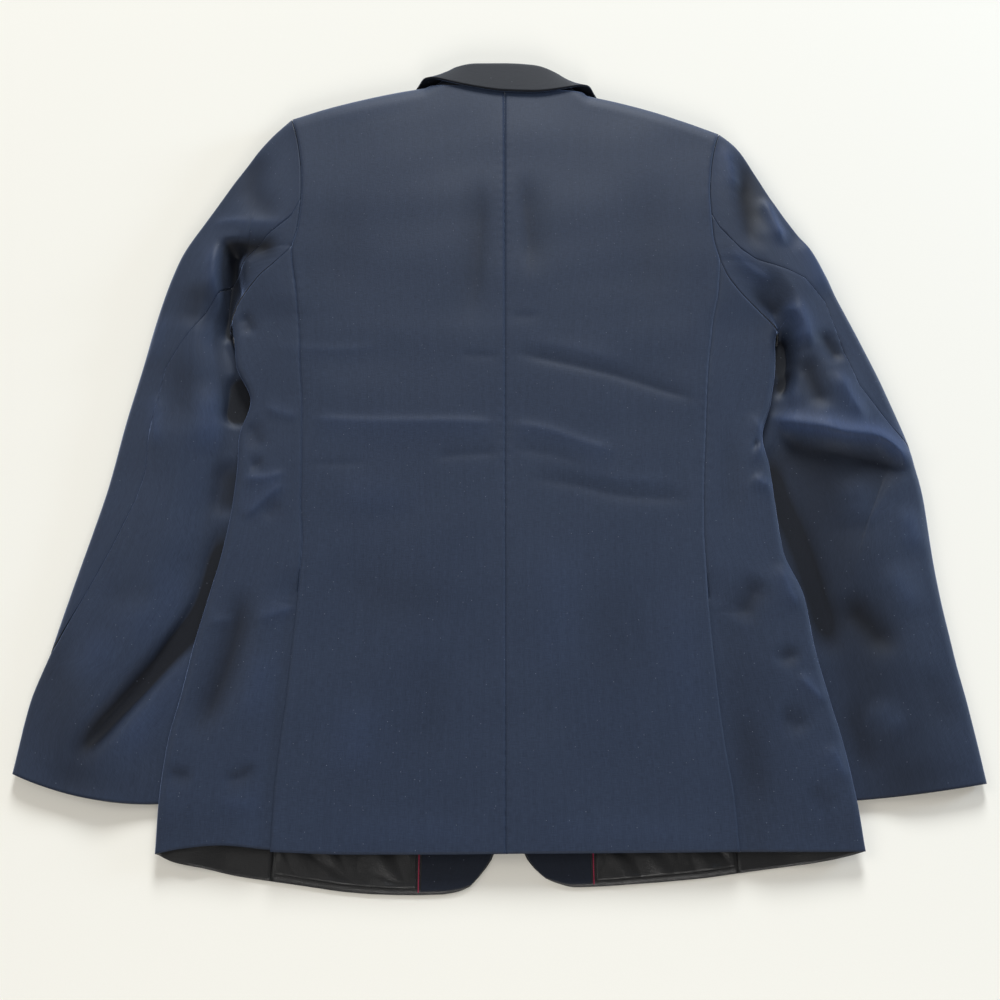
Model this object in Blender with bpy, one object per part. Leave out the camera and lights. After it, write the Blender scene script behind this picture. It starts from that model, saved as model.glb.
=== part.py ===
"""Suit jacket laid face down with its sleeves beside it: two backs with side vents, side bodies, fronts,
lapels, collar, two-piece sleeves, and the facing, piping and lining that show under the back hem.

Metres, +Z up, the surface at z = 0, the hem towards -Y and the collar towards +Y. "Left" is the wearer's
left, which lies at -X. The tables are in centimetres, and their "up" and "y" start at the back hem's middle.
"""

import math

import bpy
import numpy as np

CM = 0.01
WALL = 0.0018  # suiting with its interlining
THIN_WALL = 0.0010  # facing and lining
SEAM_GAP = 0.0003
SHOULDER_GAP = 0.0009  # between the middles of two edges that meet end to end over a fold
ARMHOLE_GAP = 0.0012
UNDERARM_GAP = 0.0026  # and this much more where the sleeve turns down beside the body
UNDERARM_SHARE = 0.3
RIM_STEP = 0.02  # share of the armhole over which its direction is taken
SLEEVE_GAP = 0.0008  # along the sleeve's length seams, which cross its folds
HEM_FROM_CENTRE = 0.3731  # the back hem lies this far towards -Y from the middle of the jacket
SHIFT_X = 0.001

CENTRE_SEAM_X = 0.45 * CM
FOLD_REACH = 0.7 * CM  # how far in the side fold's rounding goes
CROWN_RUN = 8.0 * CM  # how far in the back gets level
SHOULDER_Z = 1.5 * CM  # height of the shoulder seams
SHOULDER_REACH = 2.2 * CM
RAMP_RUN = 3.2 * CM  # how far the underside takes to climb onto a sleeve

LAPEL_LIFT = 0.24 * CM
LAPEL_REACH = 16.0 * CM  # the fronts are lifted this far out from the middle, over the lapels and the collar
LAPEL_FROM = 37.0 * CM
LAPEL_RUN = 4.0 * CM
BUTTON_RADIUS = 1.0 * CM
BUTTON_THICK = 0.30 * CM
BUTTON_LIFT = 0.36 * CM
BUTTON_X = 3.0 * CM
BUTTON_SIDES = 20
BUTTON_UP = {"button_lower": 27.5 * CM, "button_upper": 36.5 * CM}
BUTTON_STRIP = {"out": 7.5 * CM, "low": 21.0 * CM, "high": 44.0 * CM}
# A button's section, as shares of its radius and its thickness: from the recess over the rim to the back.
BUTTON_PROFILE = ((0.55, 0.55), (0.72, 0.2), (0.9, 0.0), (1.0, 0.35), (0.95, 1.0))

VENT_TOP = 21.0 * CM
VENT_SHARE = 0.38  # and as a share of the side seam
UNDERLAP = 3.0 * CM
VENT_STEP = WALL + 0.0009  # how much lower than the back the side body lies at the vent
VENT_RUN = 3.0 * CM

BODY_COLUMNS = ("up", "edge_left", "edge_right", "seam_left", "seam_right", "crown", "edge_top", "lift",
                "ramp_left", "ramp_right")
BODY = (
    (-3.4, 27.9, 29.8, 18.5, 19.3, 1.35, 1.00, 0.40, 25.4, 26.2),
    (0.0, 27.7, 29.4, 18.4, 19.2, 1.40, 1.10, 0.50, 25.2, 25.8),
    (4.0, 27.7, 29.0, 18.4, 19.1, 1.50, 1.60, 0.85, 25.0, 25.4),
    (8.5, 27.5, 28.4, 18.2, 18.6, 1.60, 1.65, 0.88, 24.0, 24.4),
    (12.5, 26.8, 27.6, 17.9, 18.3, 1.70, 1.65, 0.88, 22.8, 23.2),
    (17.0, 26.1, 26.8, 17.7, 18.1, 1.75, 1.65, 0.88, 21.6, 22.2),
    (21.0, 25.3, 26.4, 17.5, 18.0, 1.80, 1.65, 0.88, 20.6, 21.3),
    (25.5, 24.4, 24.9, 17.4, 18.0, 1.85, 1.65, 0.88, 20.0, 20.8),
    (30.0, 23.9, 24.6, 17.8, 18.2, 1.90, 1.65, 0.88, 19.8, 20.6),
    (33.5, 23.8, 24.4, 17.95, 18.5, 1.95, 1.65, 0.88, 20.0, 20.8),
    (36.0, 23.9, 24.0, 18.1, 18.75, 2.00, 1.65, 0.88, 20.6, 21.4),
    (39.8, 23.1, 25.1, 18.3, 19.1, 2.10, 1.70, 0.90, 21.6, 22.6),
    (43.5, 24.7, 25.8, 18.7, 19.5, 2.20, 1.85, 1.05, 23.0, 24.0),
    (46.0, 25.1, 26.0, 18.9, 19.9, 2.30, 1.90, 1.10, 24.0, 25.0),
    (47.0, 25.3, 26.3, 19.0, 20.05, 2.33, 1.90, 1.10, 24.3, 25.3),
    (47.9, 25.5, 27.0, 19.1, 20.2, 2.35, 1.90, 1.10, 24.6, 25.6),
    (51.0, 28.6, 29.4, 19.5, 20.9, 2.50, 2.00, 1.10, 27.6, 28.6),
    (55.9, 31.5, 31.6, 20.2, 21.3, 2.70, 2.20, 1.10, 31.0, 31.0),
    (62.0, 31.5, 31.6, 19.6, 20.7, 2.90, 2.50, 1.10, 31.0, 31.0),
    (70.0, 31.5, 31.6, 20.6, 21.9, 2.95, 2.70, 1.10, 31.0, 31.0),
    (80.0, 31.5, 31.6, 21.0, 22.4, 2.80, 2.60, 1.10, 31.0, 31.0),
)

# Seams in plan, as (x, y). The armhole runs from the underarm to the shoulder, and UNDERARM is its stretch
# out to the side seams, which lie above each other.
UNDERARM = {
    "left": ((-25.5, 47.9), (-25.05, 49.6), (-24.3, 51.0), (-23.1, 52.7), (-21.7, 54.1), (-20.2, 55.9)),
    "right": ((26.3, 47.0), (25.6, 48.0), (24.6, 49.1), (22.9, 51.0), (21.8, 52.7), (21.2, 54.4)),
}
ARMHOLE = {
    "left": ((-20.2, 55.9), (-19.75, 58.0), (-19.6, 61.0), (-19.75, 64.0), (-20.2, 67.2), (-21.3, 71.45)),
    "right": ((21.2, 54.4), (20.75, 57.0), (20.7, 61.0), (21.0, 64.4), (21.5, 67.0), (22.3, 69.6)),
}
NECK = {  # neck seam of the back, from the centre out
    "left": ((0.45, 74.75), (-2.6, 74.9), (-4.9, 75.0), (-6.6, 75.15)),
    "right": ((0.45, 74.75), (3.6, 74.6), (6.0, 74.4), (7.8, 74.3)),
}
SHOULDER = {
    "left": ((-7.7, 75.5), (-10.6, 74.9), (-14.0, 74.0), (-17.7, 72.85), (-21.3, 71.45)),
    "right": ((9.0, 74.45), (12.0, 73.65), (15.4, 72.55), (19.0, 71.1), (22.3, 69.6)),
}
# Front and back meet along the shoulders. Over the neck, where they don't, this line runs high.
SHOULDER_LINE = (
    *SHOULDER["left"][::-1],
    (-6.4, 76.4), (-4.5, 78.4), (0.5, 80.0), (5.5, 78.0), (7.9, 75.6),
    *SHOULDER["right"],
)
BACK_HEM = {
    "left": ((0.45, 0.0), (-6.0, -0.05), (-12.0, -0.05), (-18.4, 0.15)),
    "right": ((0.45, 0.0), (8.0, 0.05), (14.0, 0.1), (19.2, 0.15)),
}
SIDE_HEM = {  # from the fold in to the side seam, above
    "left": ((-27.7, 0.0), (-25.6, 0.4), (-23.0, 0.65), (-20.6, 0.35), (-18.4, 0.15)),
    "right": ((29.4, 0.2), (24.0, 0.15), (19.2, 0.15)),
}
UNDER_HEM = {  # from the fold in to the side seam, underneath
    "left": ((-27.7, 0.0), (-26.3, -0.6), (-23.8, -1.1), (-21.3, -1.65), (-18.5, -2.05)),
    "right": ((29.4, 0.2), (28.3, -0.1), (25.8, -0.6), (22.0, -1.1), (19.25, -1.45)),
}
FRONT_HEM = {  # from the rounded corner out to the side seam
    "left": ((-2.4, -2.45), (-3.4, -2.85), (-4.8, -3.05), (-7.0, -3.1), (-9.6, -3.05), (-12.5, -2.85),
             (-15.5, -2.45), (-18.5, -2.05)),
    "right": ((3.7, -1.85), (4.6, -2.2), (6.0, -2.5), (8.0, -2.45), (10.4, -2.3), (13.2, -2.1),
              (16.1, -1.85), (19.25, -1.45)),
}
FRONT_EDGE = {  # front edge from the rounded corner, then the roll line and the neck up to the shoulder
    "left": ((-2.4, -2.45), (-1.5, -1.5), (-0.5, 0.0), (0.15, 3.5), (0.35, 12.0), (0.4, 25.0), (0.35, 38.5),
             (-2.9, 53.0), (-6.3, 67.4), (-7.3, 70.8), (-7.55, 73.4), (-7.7, 75.5)),
    "right": ((3.7, -1.85), (2.8, -1.1), (2.0, 0.0), (1.35, 3.5), (1.1, 12.0), (1.1, 25.0), (1.15, 38.5),
              (4.4, 53.0), (7.8, 66.4), (8.7, 69.8), (8.9, 72.4), (9.0, 74.45)),
}
LAPEL = {  # the roll line, and the free edge with its point
    "left": {"roll": ((0.25, 38.9), (-2.9, 53.2), (-6.3, 67.7)),
             "edge": ((-0.35, 38.8), (-4.6, 45.0), (-9.4, 53.6), (-12.6, 60.0), (-14.3, 64.2))},
    "right": {"roll": ((1.25, 38.9), (4.4, 53.2), (7.8, 66.7)),
              "edge": ((1.85, 38.8), (6.1, 45.0), (10.9, 53.0), (14.1, 59.2), (15.6, 63.2))},
}

# Shares of the way up the side seams where the panels have their rows, closer at the hem and the vent.
SEAM_ROWS = (0, 0.018, 0.045, 0.09, 0.15, 0.22, 0.30, 0.372, 0.384, 0.45, 0.53, 0.61, 0.69, 0.77, 0.85,
             0.93, 1)
ARMHOLE_ROWS = (0.13, 0.27, 0.41, 0.54, 0.66, 0.77, 0.86, 0.925, 0.965, 0.99, 1)  # then up the armhole
FOLD_COLUMNS = (0, 0.014, 0.05, 0.105, 0.22, 0.36, 0.51, 0.67, 0.84, 1)  # from a side fold to the side seam
UNDERLAP_SHIFT = (0, 0, 0, 0, 0, 0.05, 0.2, 0.45, 0.7, 1)  # how much of the underlap each column takes up

# Each sleeve from the armhole to the cuff: its outer and inner fold in plan, how far the section bows
# towards the cuff, the share that stays low under the body's edge, and the heights of the upper layer.
SLEEVE_COLUMNS = ("out_x", "out_y", "in_x", "in_y", "bow", "step", "in_top", "mid_top", "out_top")
SLEEVE = {
    "left": (
        (-21.3, 71.45, -25.5, 47.9, 0.0, 0.10, 1.70, 2.6, 2.4),
        (-24.6, 67.7, -25.9, 47.5, 0.0, 0.10, 1.50, 2.8, 2.3),
        (-28.4, 60.6, -26.2, 46.9, 0.0, 0.10, 1.20, 2.8, 2.1),
        (-31.2, 55.1, -26.4, 46.2, 0.0, 0.11, 0.90, 2.5, 2.0),
        (-32.6, 49.7, -26.2, 45.0, 0.0, 0.12, 0.75, 2.3, 1.9),
        (-33.4, 44.8, -24.6, 42.9, 0.0, 0.14, 0.66, 2.2, 1.7),
        (-33.9, 42.0, -22.6, 39.8, 0.0, 0.16, 0.63, 2.1, 1.6),
        (-34.5, 38.3, -21.1, 36.0, -0.1, 0.24, 0.62, 2.0, 1.5),
        (-35.5, 31.1, -20.3, 29.0, -0.2, 0.30, 0.62, 1.8, 1.4),
        (-36.9, 24.3, -21.0, 22.3, -0.3, 0.30, 0.62, 1.7, 1.3),
        (-38.4, 17.0, -22.6, 15.5, -0.4, 0.28, 0.62, 1.6, 1.25),
        (-39.7, 12.0, -24.2, 9.8, -0.7, 0.24, 0.62, 1.4, 1.15),
        (-40.3, 6.3, -25.8, 4.1, -1.0, 0.18, 0.62, 1.25, 1.0),
    ),
    "right": (
        (22.3, 69.6, 26.3, 47.0, 0.0, 0.10, 1.70, 2.6, 2.4),
        (25.0, 67.0, 26.6, 46.6, 0.0, 0.10, 1.50, 2.9, 2.4),
        (27.6, 60.6, 26.9, 46.0, 0.0, 0.10, 1.20, 2.9, 2.3),
        (30.8, 54.9, 27.0, 45.3, 0.0, 0.11, 0.95, 2.8, 2.2),
        (32.7, 49.8, 26.7, 44.1, 0.0, 0.12, 0.75, 2.7, 2.1),
        (34.3, 45.5, 25.3, 41.8, 0.0, 0.14, 0.66, 2.7, 2.0),
        (35.8, 41.0, 23.4, 38.2, 0.0, 0.16, 0.62, 2.6, 1.9),
        (37.4, 35.6, 21.7, 33.3, 0.0, 0.24, 0.62, 1.9, 1.5),
        (38.2, 29.9, 21.4, 28.0, 0.0, 0.26, 0.62, 1.6, 1.3),
        (38.3, 24.0, 22.0, 22.0, -0.1, 0.28, 0.62, 1.55, 1.2),
        (38.9, 16.5, 23.4, 14.8, -0.1, 0.28, 0.62, 1.5, 1.15),
        (39.5, 11.5, 24.9, 9.2, -0.2, 0.26, 0.62, 1.4, 1.1),
        (40.1, 5.5, 26.4, 4.0, -0.2, 0.22, 0.62, 1.2, 1.0),
    ),
}
# The elbow seam in plan from the armhole, on to where it turns under the outer fold.
ELBOW_SEAM = {
    "left": ((-19.6, 61.2), (-20.5, 59.2), (-22.6, 57.2), (-25.0, 54.4), (-26.8, 51.4), (-28.1, 48.8),
             (-30.0, 45.5), (-31.3, 43.0), (-32.1, 36.0), (-32.0, 33.0), (-32.6, 30.1), (-33.9, 26.5),
             (-36.2, 21.0), (-37.8, 17.5), (-41.0, 12.0), (-43.0, 5.0)),
    "right": ((20.7, 59.5), (21.4, 58.0), (23.4, 55.4), (24.8, 54.3), (27.5, 53.2), (29.2, 52.3),
              (31.0, 49.9), (32.1, 45.0), (33.2, 41.1), (35.6, 37.6), (37.5, 34.8), (39.6, 31.0),
              (42.0, 5.0)),
}
ELBOW_UNDER = 0.07  # share of the sleeve's width by which the seam then lies underneath
SLEEVE_REACH = 0.8 * CM  # rounding of the sleeve's folds
SLEEVE_BLEND = 0.14  # share of the sleeve in which its section turns from the armhole's curve to a line
SLEEVE_RISE = 0.45  # share of its width in which a sleeve's top climbs to its middle height
SLEEVE_FALL = 0.5  # and in which it comes down again towards the outer fold
SLEEVE_ROWS = 22
SECTION_POINTS = 401  # in each section, before it is cut into the two panels
UNDER_SLEEVE_COLUMNS = 13
TOP_SLEEVE_COLUMNS = 13
BEND_LENGTH = 1.0 * CM  # a full radian of turning counts as this much length
END_STEP = 0.06 * CM
ELBOW_OPENING = 0.0018  # the elbow seam opens this much where it turns over the outer fold, at the cuff vent
ELBOW_TURN = 0.05
FOREARM_SEAM = 1.88  # underneath, near the inner fold
FOREARM_SHIFT = 0.06  # and this much further from it at the armhole
LEAST_SLEEVE_Z = 0.45 * CM  # the upper layer stays this high in the deepest fold

# The collar from the left end round the back of the neck to the right end: where it is sewn on, its roll,
# and its free edge.
COLLAR_COLUMNS = ("neck_x", "neck_y", "neck_z", "fold_x", "fold_y", "fold_z", "leaf_x", "leaf_y", "leaf_z")
COLLAR = (
    (-6.70, 69.2, 0.42, -5.90, 69.0, 0.25, -12.6, 68.6, 0.11),
    (-7.20, 71.6, 0.42, -5.60, 71.6, 0.25, -11.8, 71.8, 0.11),
    (-7.42, 73.4, 0.46, -5.70, 73.6, 0.30, -10.6, 74.2, 0.11),
    (-7.44, 74.7, 0.90, -5.90, 75.0, 0.70, -9.4, 75.75, 0.45),
    (-7.45, 75.45, 1.50, -5.90, 75.9, 1.40, -8.6, 76.15, 1.40),
    (-6.90, 75.42, 2.20, -5.40, 76.5, 2.40, -7.9, 76.2, 2.50),
    (-5.20, 75.15, 2.78, -4.60, 77.1, 2.90, -6.4, 75.7, 3.16),
    (-2.40, 75.0, 2.86, -2.40, 77.5, 3.02, -2.5, 74.6, 3.20),
    (0.45, 74.87, 2.86, 0.45, 77.5, 3.04, 0.5, 74.1, 3.20),
    (3.40, 74.72, 2.86, 3.40, 77.3, 3.02, 3.5, 74.0, 3.20),
    (6.30, 74.50, 2.78, 6.00, 76.2, 2.90, 7.6, 74.7, 3.16),
    (8.20, 74.55, 2.20, 6.80, 75.5, 2.40, 9.2, 75.25, 2.50),
    (8.78, 74.42, 1.50, 7.30, 74.9, 1.40, 9.9, 75.1, 1.40),
    (8.75, 73.5, 0.90, 7.20, 74.0, 0.70, 10.7, 74.7, 0.45),
    (8.72, 72.3, 0.46, 7.00, 72.5, 0.30, 12.0, 73.2, 0.11),
    (8.60, 70.6, 0.42, 6.90, 70.5, 0.25, 13.2, 70.8, 0.11),
    (8.15, 68.2, 0.42, 7.20, 68.0, 0.25, 14.0, 67.6, 0.11),
)
COLLAR_ROWS = 31
ROLL_RADIUS = 0.14 * CM
ROLL_STEPS = 5
STAND_SHARES = (0, 0.5)
LEAF_SHARES = (0.33, 0.67, 1)
LAPEL_ROWS = 9
LAPEL_COLUMNS = 6

# The largest folds, as soft ridges (+) and troughs (-) along a line in plan from a to b, bowed sideways.
RELIEF_COLUMNS = ("ax", "ay", "bx", "by", "bow", "width", "height")
RELIEF_FADE = 0.3  # share of a fold's length in which it fades out
RELIEF_OVERRUN = 0.12  # and how far it goes past its ends
BACK_FOLDS = (
    (-17.0, 34.5, 3.0, 37.5, 0.6, 1.6, 0.22),
    (-16.0, 39.5, 1.0, 41.5, 0.5, 1.5, -0.18),
    (1.0, 40.0, 18.0, 36.0, 0.5, 1.6, 0.22),
    (4.0, 33.5, 19.5, 29.5, 0.4, 1.6, -0.20),
    (-24.0, 25.0, -18.5, 31.0, 0.0, 1.5, 0.30),
    (-24.5, 8.5, -20.5, 22.5, 0.3, 1.6, -0.34),
    (-24.5, 33.0, -19.0, 36.0, 0.2, 1.5, 0.25),
    (22.5, 31.0, 24.5, 24.0, 0.2, 1.4, 0.40),
    (23.5, 20.0, 26.5, 12.0, -0.3, 1.4, 0.30),
    (-8.0, 66.0, -4.0, 50.0, 0.5, 3.0, -0.18),
    (4.5, 68.0, 5.0, 53.0, -0.5, 2.2, -0.20),
)
SLEEVE_FOLDS = {
    "left": (
        (-24.8, 47.0, -25.6, 57.0, -1.2, 1.5, -1.10),
        (-25.6, 57.2, -21.8, 57.0, 0.0, 1.4, -0.60),
        (-28.0, 46.0, -28.6, 57.0, -0.6, 1.8, 0.45),
        (-24.4, 36.0, -25.2, 43.5, 0.0, 1.6, -0.90),
        (-25.0, 27.0, -35.5, 9.5, 0.6, 2.2, -0.55),
        (-28.5, 28.0, -36.5, 14.0, 0.4, 2.4, 0.30),
    ),
    "right": (
        (27.6, 47.5, 26.4, 43.2, 0.0, 1.5, -1.00),
        (24.5, 64.0, 28.0, 56.0, 0.6, 1.6, 0.40),
        (25.6, 40.5, 37.0, 35.5, 1.2, 1.7, 0.75),
        (26.5, 36.0, 37.0, 32.0, 1.0, 2.2, -0.45),
        (29.5, 47.0, 33.0, 39.0, 0.5, 1.5, 0.40),
        (30.5, 22.0, 35.5, 12.0, 0.3, 2.0, -0.30),
    ),
}

FACING_SHARE = 0.235  # of the front's width, from the front edge to the piping
INSIDE_TOP = 0.15  # share of the front's length up to which its inside is finished
INSIDE_HEM = {"facing": 0.004, "lining": 0.008, "piping": 0.003}  # share by which they stop above the hem
INSIDE_EDGES = {"facing": 0.012, "lining": 0.985}  # their other edges, as shares of the front's width
INSIDE_STEPS = 7
PIPING_RADIUS = 0.11 * CM
PIPING_GAP = 0.0009
PIPING_SIDES = 8

SUITING = {"colour": (0.030, 0.042, 0.078), "roughness": 0.80}
SATIN = {"colour": (0.018, 0.018, 0.020), "roughness": 0.38}
EDGING = {"colour": (0.42, 0.030, 0.100), "roughness": 0.55}
HORN = {"colour": (0.022, 0.024, 0.034), "roughness": 0.35}


def smooth(stations, values, at):
    """Cubic through a table's values that never overshoots them."""
    step = np.diff(stations)
    rise = np.diff(values) / step
    total = rise[:-1] + rise[1:]
    turning = rise[:-1] * rise[1:]
    slope = np.zeros(len(values))
    slope[0], slope[-1] = rise[0], rise[-1]
    slope[1:-1] = np.where(turning > 0, 2 * turning / np.where(turning > 0, total, 1.0), 0.0)
    at = np.clip(at, stations[0], stations[-1])
    i = np.clip(np.searchsorted(stations, at, side="right") - 1, 0, len(stations) - 2)
    t = (at - stations[i]) / step[i]
    return (
        (1 + 2 * t) * (1 - t) ** 2 * values[i]
        + t * (1 - t) ** 2 * step[i] * slope[i]
        + t * t * (3 - 2 * t) * values[i + 1]
        + t * t * (t - 1) * step[i] * slope[i + 1]
    )


def shares_of(points):
    """How far along a line its points lie, from 0 to 1."""
    run = np.concatenate([[0], np.cumsum(np.linalg.norm(np.diff(points, axis=0), axis=1))])
    return run / run[-1]


def along(points, share):
    """Points at shares of the length of a smooth curve through the given points."""
    points = np.asarray(points, float)
    stations = shares_of(points)
    return np.stack([smooth(stations, points[:, k], share) for k in range(points.shape[1])], axis=-1)


def ease(t):
    t = np.clip(t, 0, 1)
    return t * t * (3 - 2 * t)


def rounded(distance, reach):
    """0 at a fold, 1 from reach inwards, along a quarter of an ellipse."""
    q = np.clip(distance / reach, 0, 1)
    return np.sqrt(np.clip(1 - (1 - q) ** 2, 0, 1))


def body(name, up):
    table = np.array(BODY) * CM
    return smooth(table[:, 0], table[:, BODY_COLUMNS.index(name)], up)


def side_value(name, x, up):
    """A distance from the middle that differs between the two sides."""
    return np.where(x < CENTRE_SEAM_X, body(name + "_left", up), body(name + "_right", up))


def relief(folds, x, y):
    """Sum of soft ridges and troughs, each fading out at both ends."""
    total = np.zeros(np.shape(x))
    for fold in folds:
        f = {name: value * CM for name, value in zip(RELIEF_COLUMNS, fold)}
        length = math.hypot(f["bx"] - f["ax"], f["by"] - f["ay"])
        tx, ty = (f["bx"] - f["ax"]) / length, (f["by"] - f["ay"]) / length
        t = ((x - f["ax"]) * tx + (y - f["ay"]) * ty) / length
        inner = np.clip(t, 0, 1)
        off = (y - f["ay"]) * tx - (x - f["ax"]) * ty - f["bow"] * 4 * inner * (1 - inner)
        fade = ease((t + RELIEF_OVERRUN) / RELIEF_FADE) * ease((1 + RELIEF_OVERRUN - t) / RELIEF_FADE)
        total += f["height"] * fade * np.exp(-((off / f["width"]) ** 2))
    return total


def shoulder_distance(x, y):
    line = np.array(SHOULDER_LINE) * CM
    return np.interp(x, line[:, 0], line[:, 1]) - y


def edge_middle(up):
    return (body("edge_top", up) + body("lift", up) + WALL / 2) / 2


def back_height(x, y):
    """Middle of the upper layer: level inside, rounded down at the side folds and the shoulders."""
    inside = side_value("edge", x, y) - np.abs(x)
    climb = ease((inside - FOLD_REACH) / CROWN_RUN)
    height = body("edge_top", y) + (body("crown", y) - body("edge_top", y)) * climb
    height = height + relief(BACK_FOLDS, x, y)
    height = edge_middle(y) + (height - edge_middle(y)) * rounded(inside, FOLD_REACH)
    seam = SHOULDER_Z + SHOULDER_GAP / 2
    return seam + (height - seam) * rounded(shoulder_distance(x, y), SHOULDER_REACH)


def front_height(x, y):
    """Middle of the lower layer: on the floor, and up over the sleeves, the lapels and the buttons."""
    out = np.abs(x)
    inside = side_value("edge", x, y) - out
    height = WALL / 2 + body("lift", y) * ease((out - side_value("ramp", x, y) + RAMP_RUN) / RAMP_RUN)
    lapel = LAPEL_LIFT * ease((LAPEL_REACH + LAPEL_RUN - out) / LAPEL_RUN)
    lapel = lapel * ease((y - LAPEL_FROM + LAPEL_RUN) / LAPEL_RUN)
    strip = ease((BUTTON_STRIP["out"] - x) / LAPEL_RUN) * ease((BUTTON_STRIP["high"] - y) / LAPEL_RUN)
    strip = BUTTON_LIFT * strip * ease((y - BUTTON_STRIP["low"]) / LAPEL_RUN)
    height = height + np.maximum(lapel, np.where(x > CENTRE_SEAM_X, strip, 0.0))
    height = edge_middle(y) + (height - edge_middle(y)) * rounded(inside, FOLD_REACH)
    seam = SHOULDER_Z - SHOULDER_GAP / 2
    return seam + (height - seam) * rounded(shoulder_distance(x, y), SHOULDER_REACH)


def patch(inner, outer, lower, upper):
    """Flat panel between four rows of (x, y) points that share their corners: a Coons patch."""
    v = (shares_of(inner) + shares_of(outer))[:, None, None] / 2
    u = (shares_of(lower) + shares_of(upper))[None, :, None] / 2
    straight = (
        (1 - u) * (1 - v) * lower[0] + u * (1 - v) * lower[-1] + (1 - u) * v * upper[0] + u * v * upper[-1]
    )
    return (1 - u) * inner[:, None] + u * outer[:, None] + (1 - v) * lower[None] + v * upper[None] - straight


def raised(plan, height):
    return np.concatenate([plan, height(plan[..., 0], plan[..., 1])[..., None]], axis=-1)


def material(name, finish):
    made = bpy.data.materials.new(name)
    made.use_nodes = True
    shader = made.node_tree.nodes["Principled BSDF"]
    shader.inputs["Base Color"].default_value = (*finish["colour"], 1.0)
    shader.inputs["Roughness"].default_value = finish["roughness"]
    made.diffuse_color = (*finish["colour"], 1.0)
    return made


def add_object(name, points, faces, finish):
    mesh = bpy.data.meshes.new(name)
    moved = np.asarray(points).reshape(-1, 3) + np.array([SHIFT_X, -HEM_FROM_CENTRE, 0.0])
    mesh.from_pydata(moved.tolist(), [], faces)
    mesh.shade_smooth()
    made = bpy.data.objects.new(name, mesh)
    bpy.context.scene.collection.objects.link(made)
    mesh.materials.append(finish)
    return made


def cloth(name, grid, finish, wall=WALL):
    """A sheet of cloth, half its wall to each side of a grid of points."""
    rows, columns = grid.shape[:2]
    corner = [r * columns + c for r in range(rows - 1) for c in range(columns - 1)]
    faces = [(i, i + 1, i + columns + 1, i + columns) for i in corner]
    made = add_object(name, grid, faces, finish)
    thick = made.modifiers.new("wall", "SOLIDIFY")
    thick.thickness = wall
    thick.offset = 0.0
    return made


def side_seam(side, hem_y):
    """Points up a side seam. The upper and the lower one lie above each other."""
    sign = -1 if side == "left" else 1
    top = np.array(ARMHOLE[side][0]) * CM
    y = hem_y * CM + (top[1] - hem_y * CM) * np.array(SEAM_ROWS)
    x = sign * body("seam_" + side, y)
    x[-1] = top[0]
    return np.stack([x, y], axis=1)


def panel_outer(side, hem_y):
    sign = -1 if side == "left" else 1
    armhole = along(np.array(ARMHOLE[side]) * CM, np.array(ARMHOLE_ROWS))
    line = np.concatenate([side_seam(side, hem_y), armhole])
    line[: len(SEAM_ROWS), 0] -= sign * SEAM_GAP / 2
    return line


def back_plan(side):
    sign = -1 if side == "left" else 1
    outer = panel_outer(side, BACK_HEM[side][-1][1])
    upper = np.array(NECK[side] + SHOULDER[side]) * CM
    lower = along(np.array(BACK_HEM[side]) * CM, np.linspace(0, 1, len(upper)))
    lower[-1] = outer[0]
    lower[0, 0] += sign * SEAM_GAP / 2
    upper[0, 0] += sign * SEAM_GAP / 2
    inner = lower[0] + (upper[0] - lower[0]) * shares_of(outer)[:, None]
    return patch(inner, outer, lower, upper)


def front_plan(side):
    outer = panel_outer(side, FRONT_HEM[side][-1][1])
    lower = np.array(FRONT_HEM[side]) * CM
    lower[-1] = outer[0]
    shoulder = np.array(SHOULDER[side]) * CM
    places = np.linspace(0, 1, len(lower))
    upper = np.stack([np.interp(places, shares_of(shoulder), shoulder[:, k]) for k in range(2)], axis=1)
    inner = along(np.array(FRONT_EDGE[side]) * CM, shares_of(outer))
    return patch(inner, outer, lower, upper)


def half_side_body(side, hem):
    """From the side fold to the side seam, in plan: straight across, bent to the hem and the armhole."""
    sign = -1 if side == "left" else 1
    across, up = np.meshgrid(FOLD_COLUMNS, SEAM_ROWS)
    across, up = across[..., None], up[..., None]
    hem = along(np.array(hem) * CM, np.array(FOLD_COLUMNS))
    armhole = along(np.array(UNDERARM[side]) * CM, np.array(FOLD_COLUMNS))
    seam = side_seam(side, hem[-1, 1] / CM)
    seam[:, 0] += sign * SEAM_GAP / 2
    y = hem[0, 1] + (armhole[0, 1] - hem[0, 1]) * np.array(SEAM_ROWS)
    fold = np.stack([sign * body("edge_" + side, y), y], axis=1)
    plan = fold[:, None] + (seam - fold)[:, None] * across
    for end, weight in ((0, (1 - up) ** 6), (-1, up**3)):
        curve = (hem, armhole)[end]
        curve[0], curve[-1] = fold[end], seam[end]
        plan = plan + weight * (curve - fold[end] - (seam[end] - fold[end]) * across[0])
    return plan


def make_side_body(side, finish):
    """From the back seam over the fold and under to the front seam, with the underlap of the vent."""
    sign = -1 if side == "left" else 1
    above = half_side_body(side, SIDE_HEM[side])
    open_rows = (np.array(SEAM_ROWS) < VENT_SHARE)[:, None]
    above[..., 0] -= sign * UNDERLAP * open_rows * np.array(UNDERLAP_SHIFT)
    x, y = above[..., 0], above[..., 1]
    sink = ease((body("seam_" + side, y) + VENT_RUN - np.abs(x)) / VENT_RUN)
    sink = sink * ease(1 + (VENT_TOP - y) / VENT_RUN)
    above = raised(above, back_height)
    above[..., 2] -= VENT_STEP * sink
    below = raised(half_side_body(side, UNDER_HEM[side]), front_height)
    cloth("side_body_" + side, np.concatenate([above[:, :0:-1], below], axis=1), finish)


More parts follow.
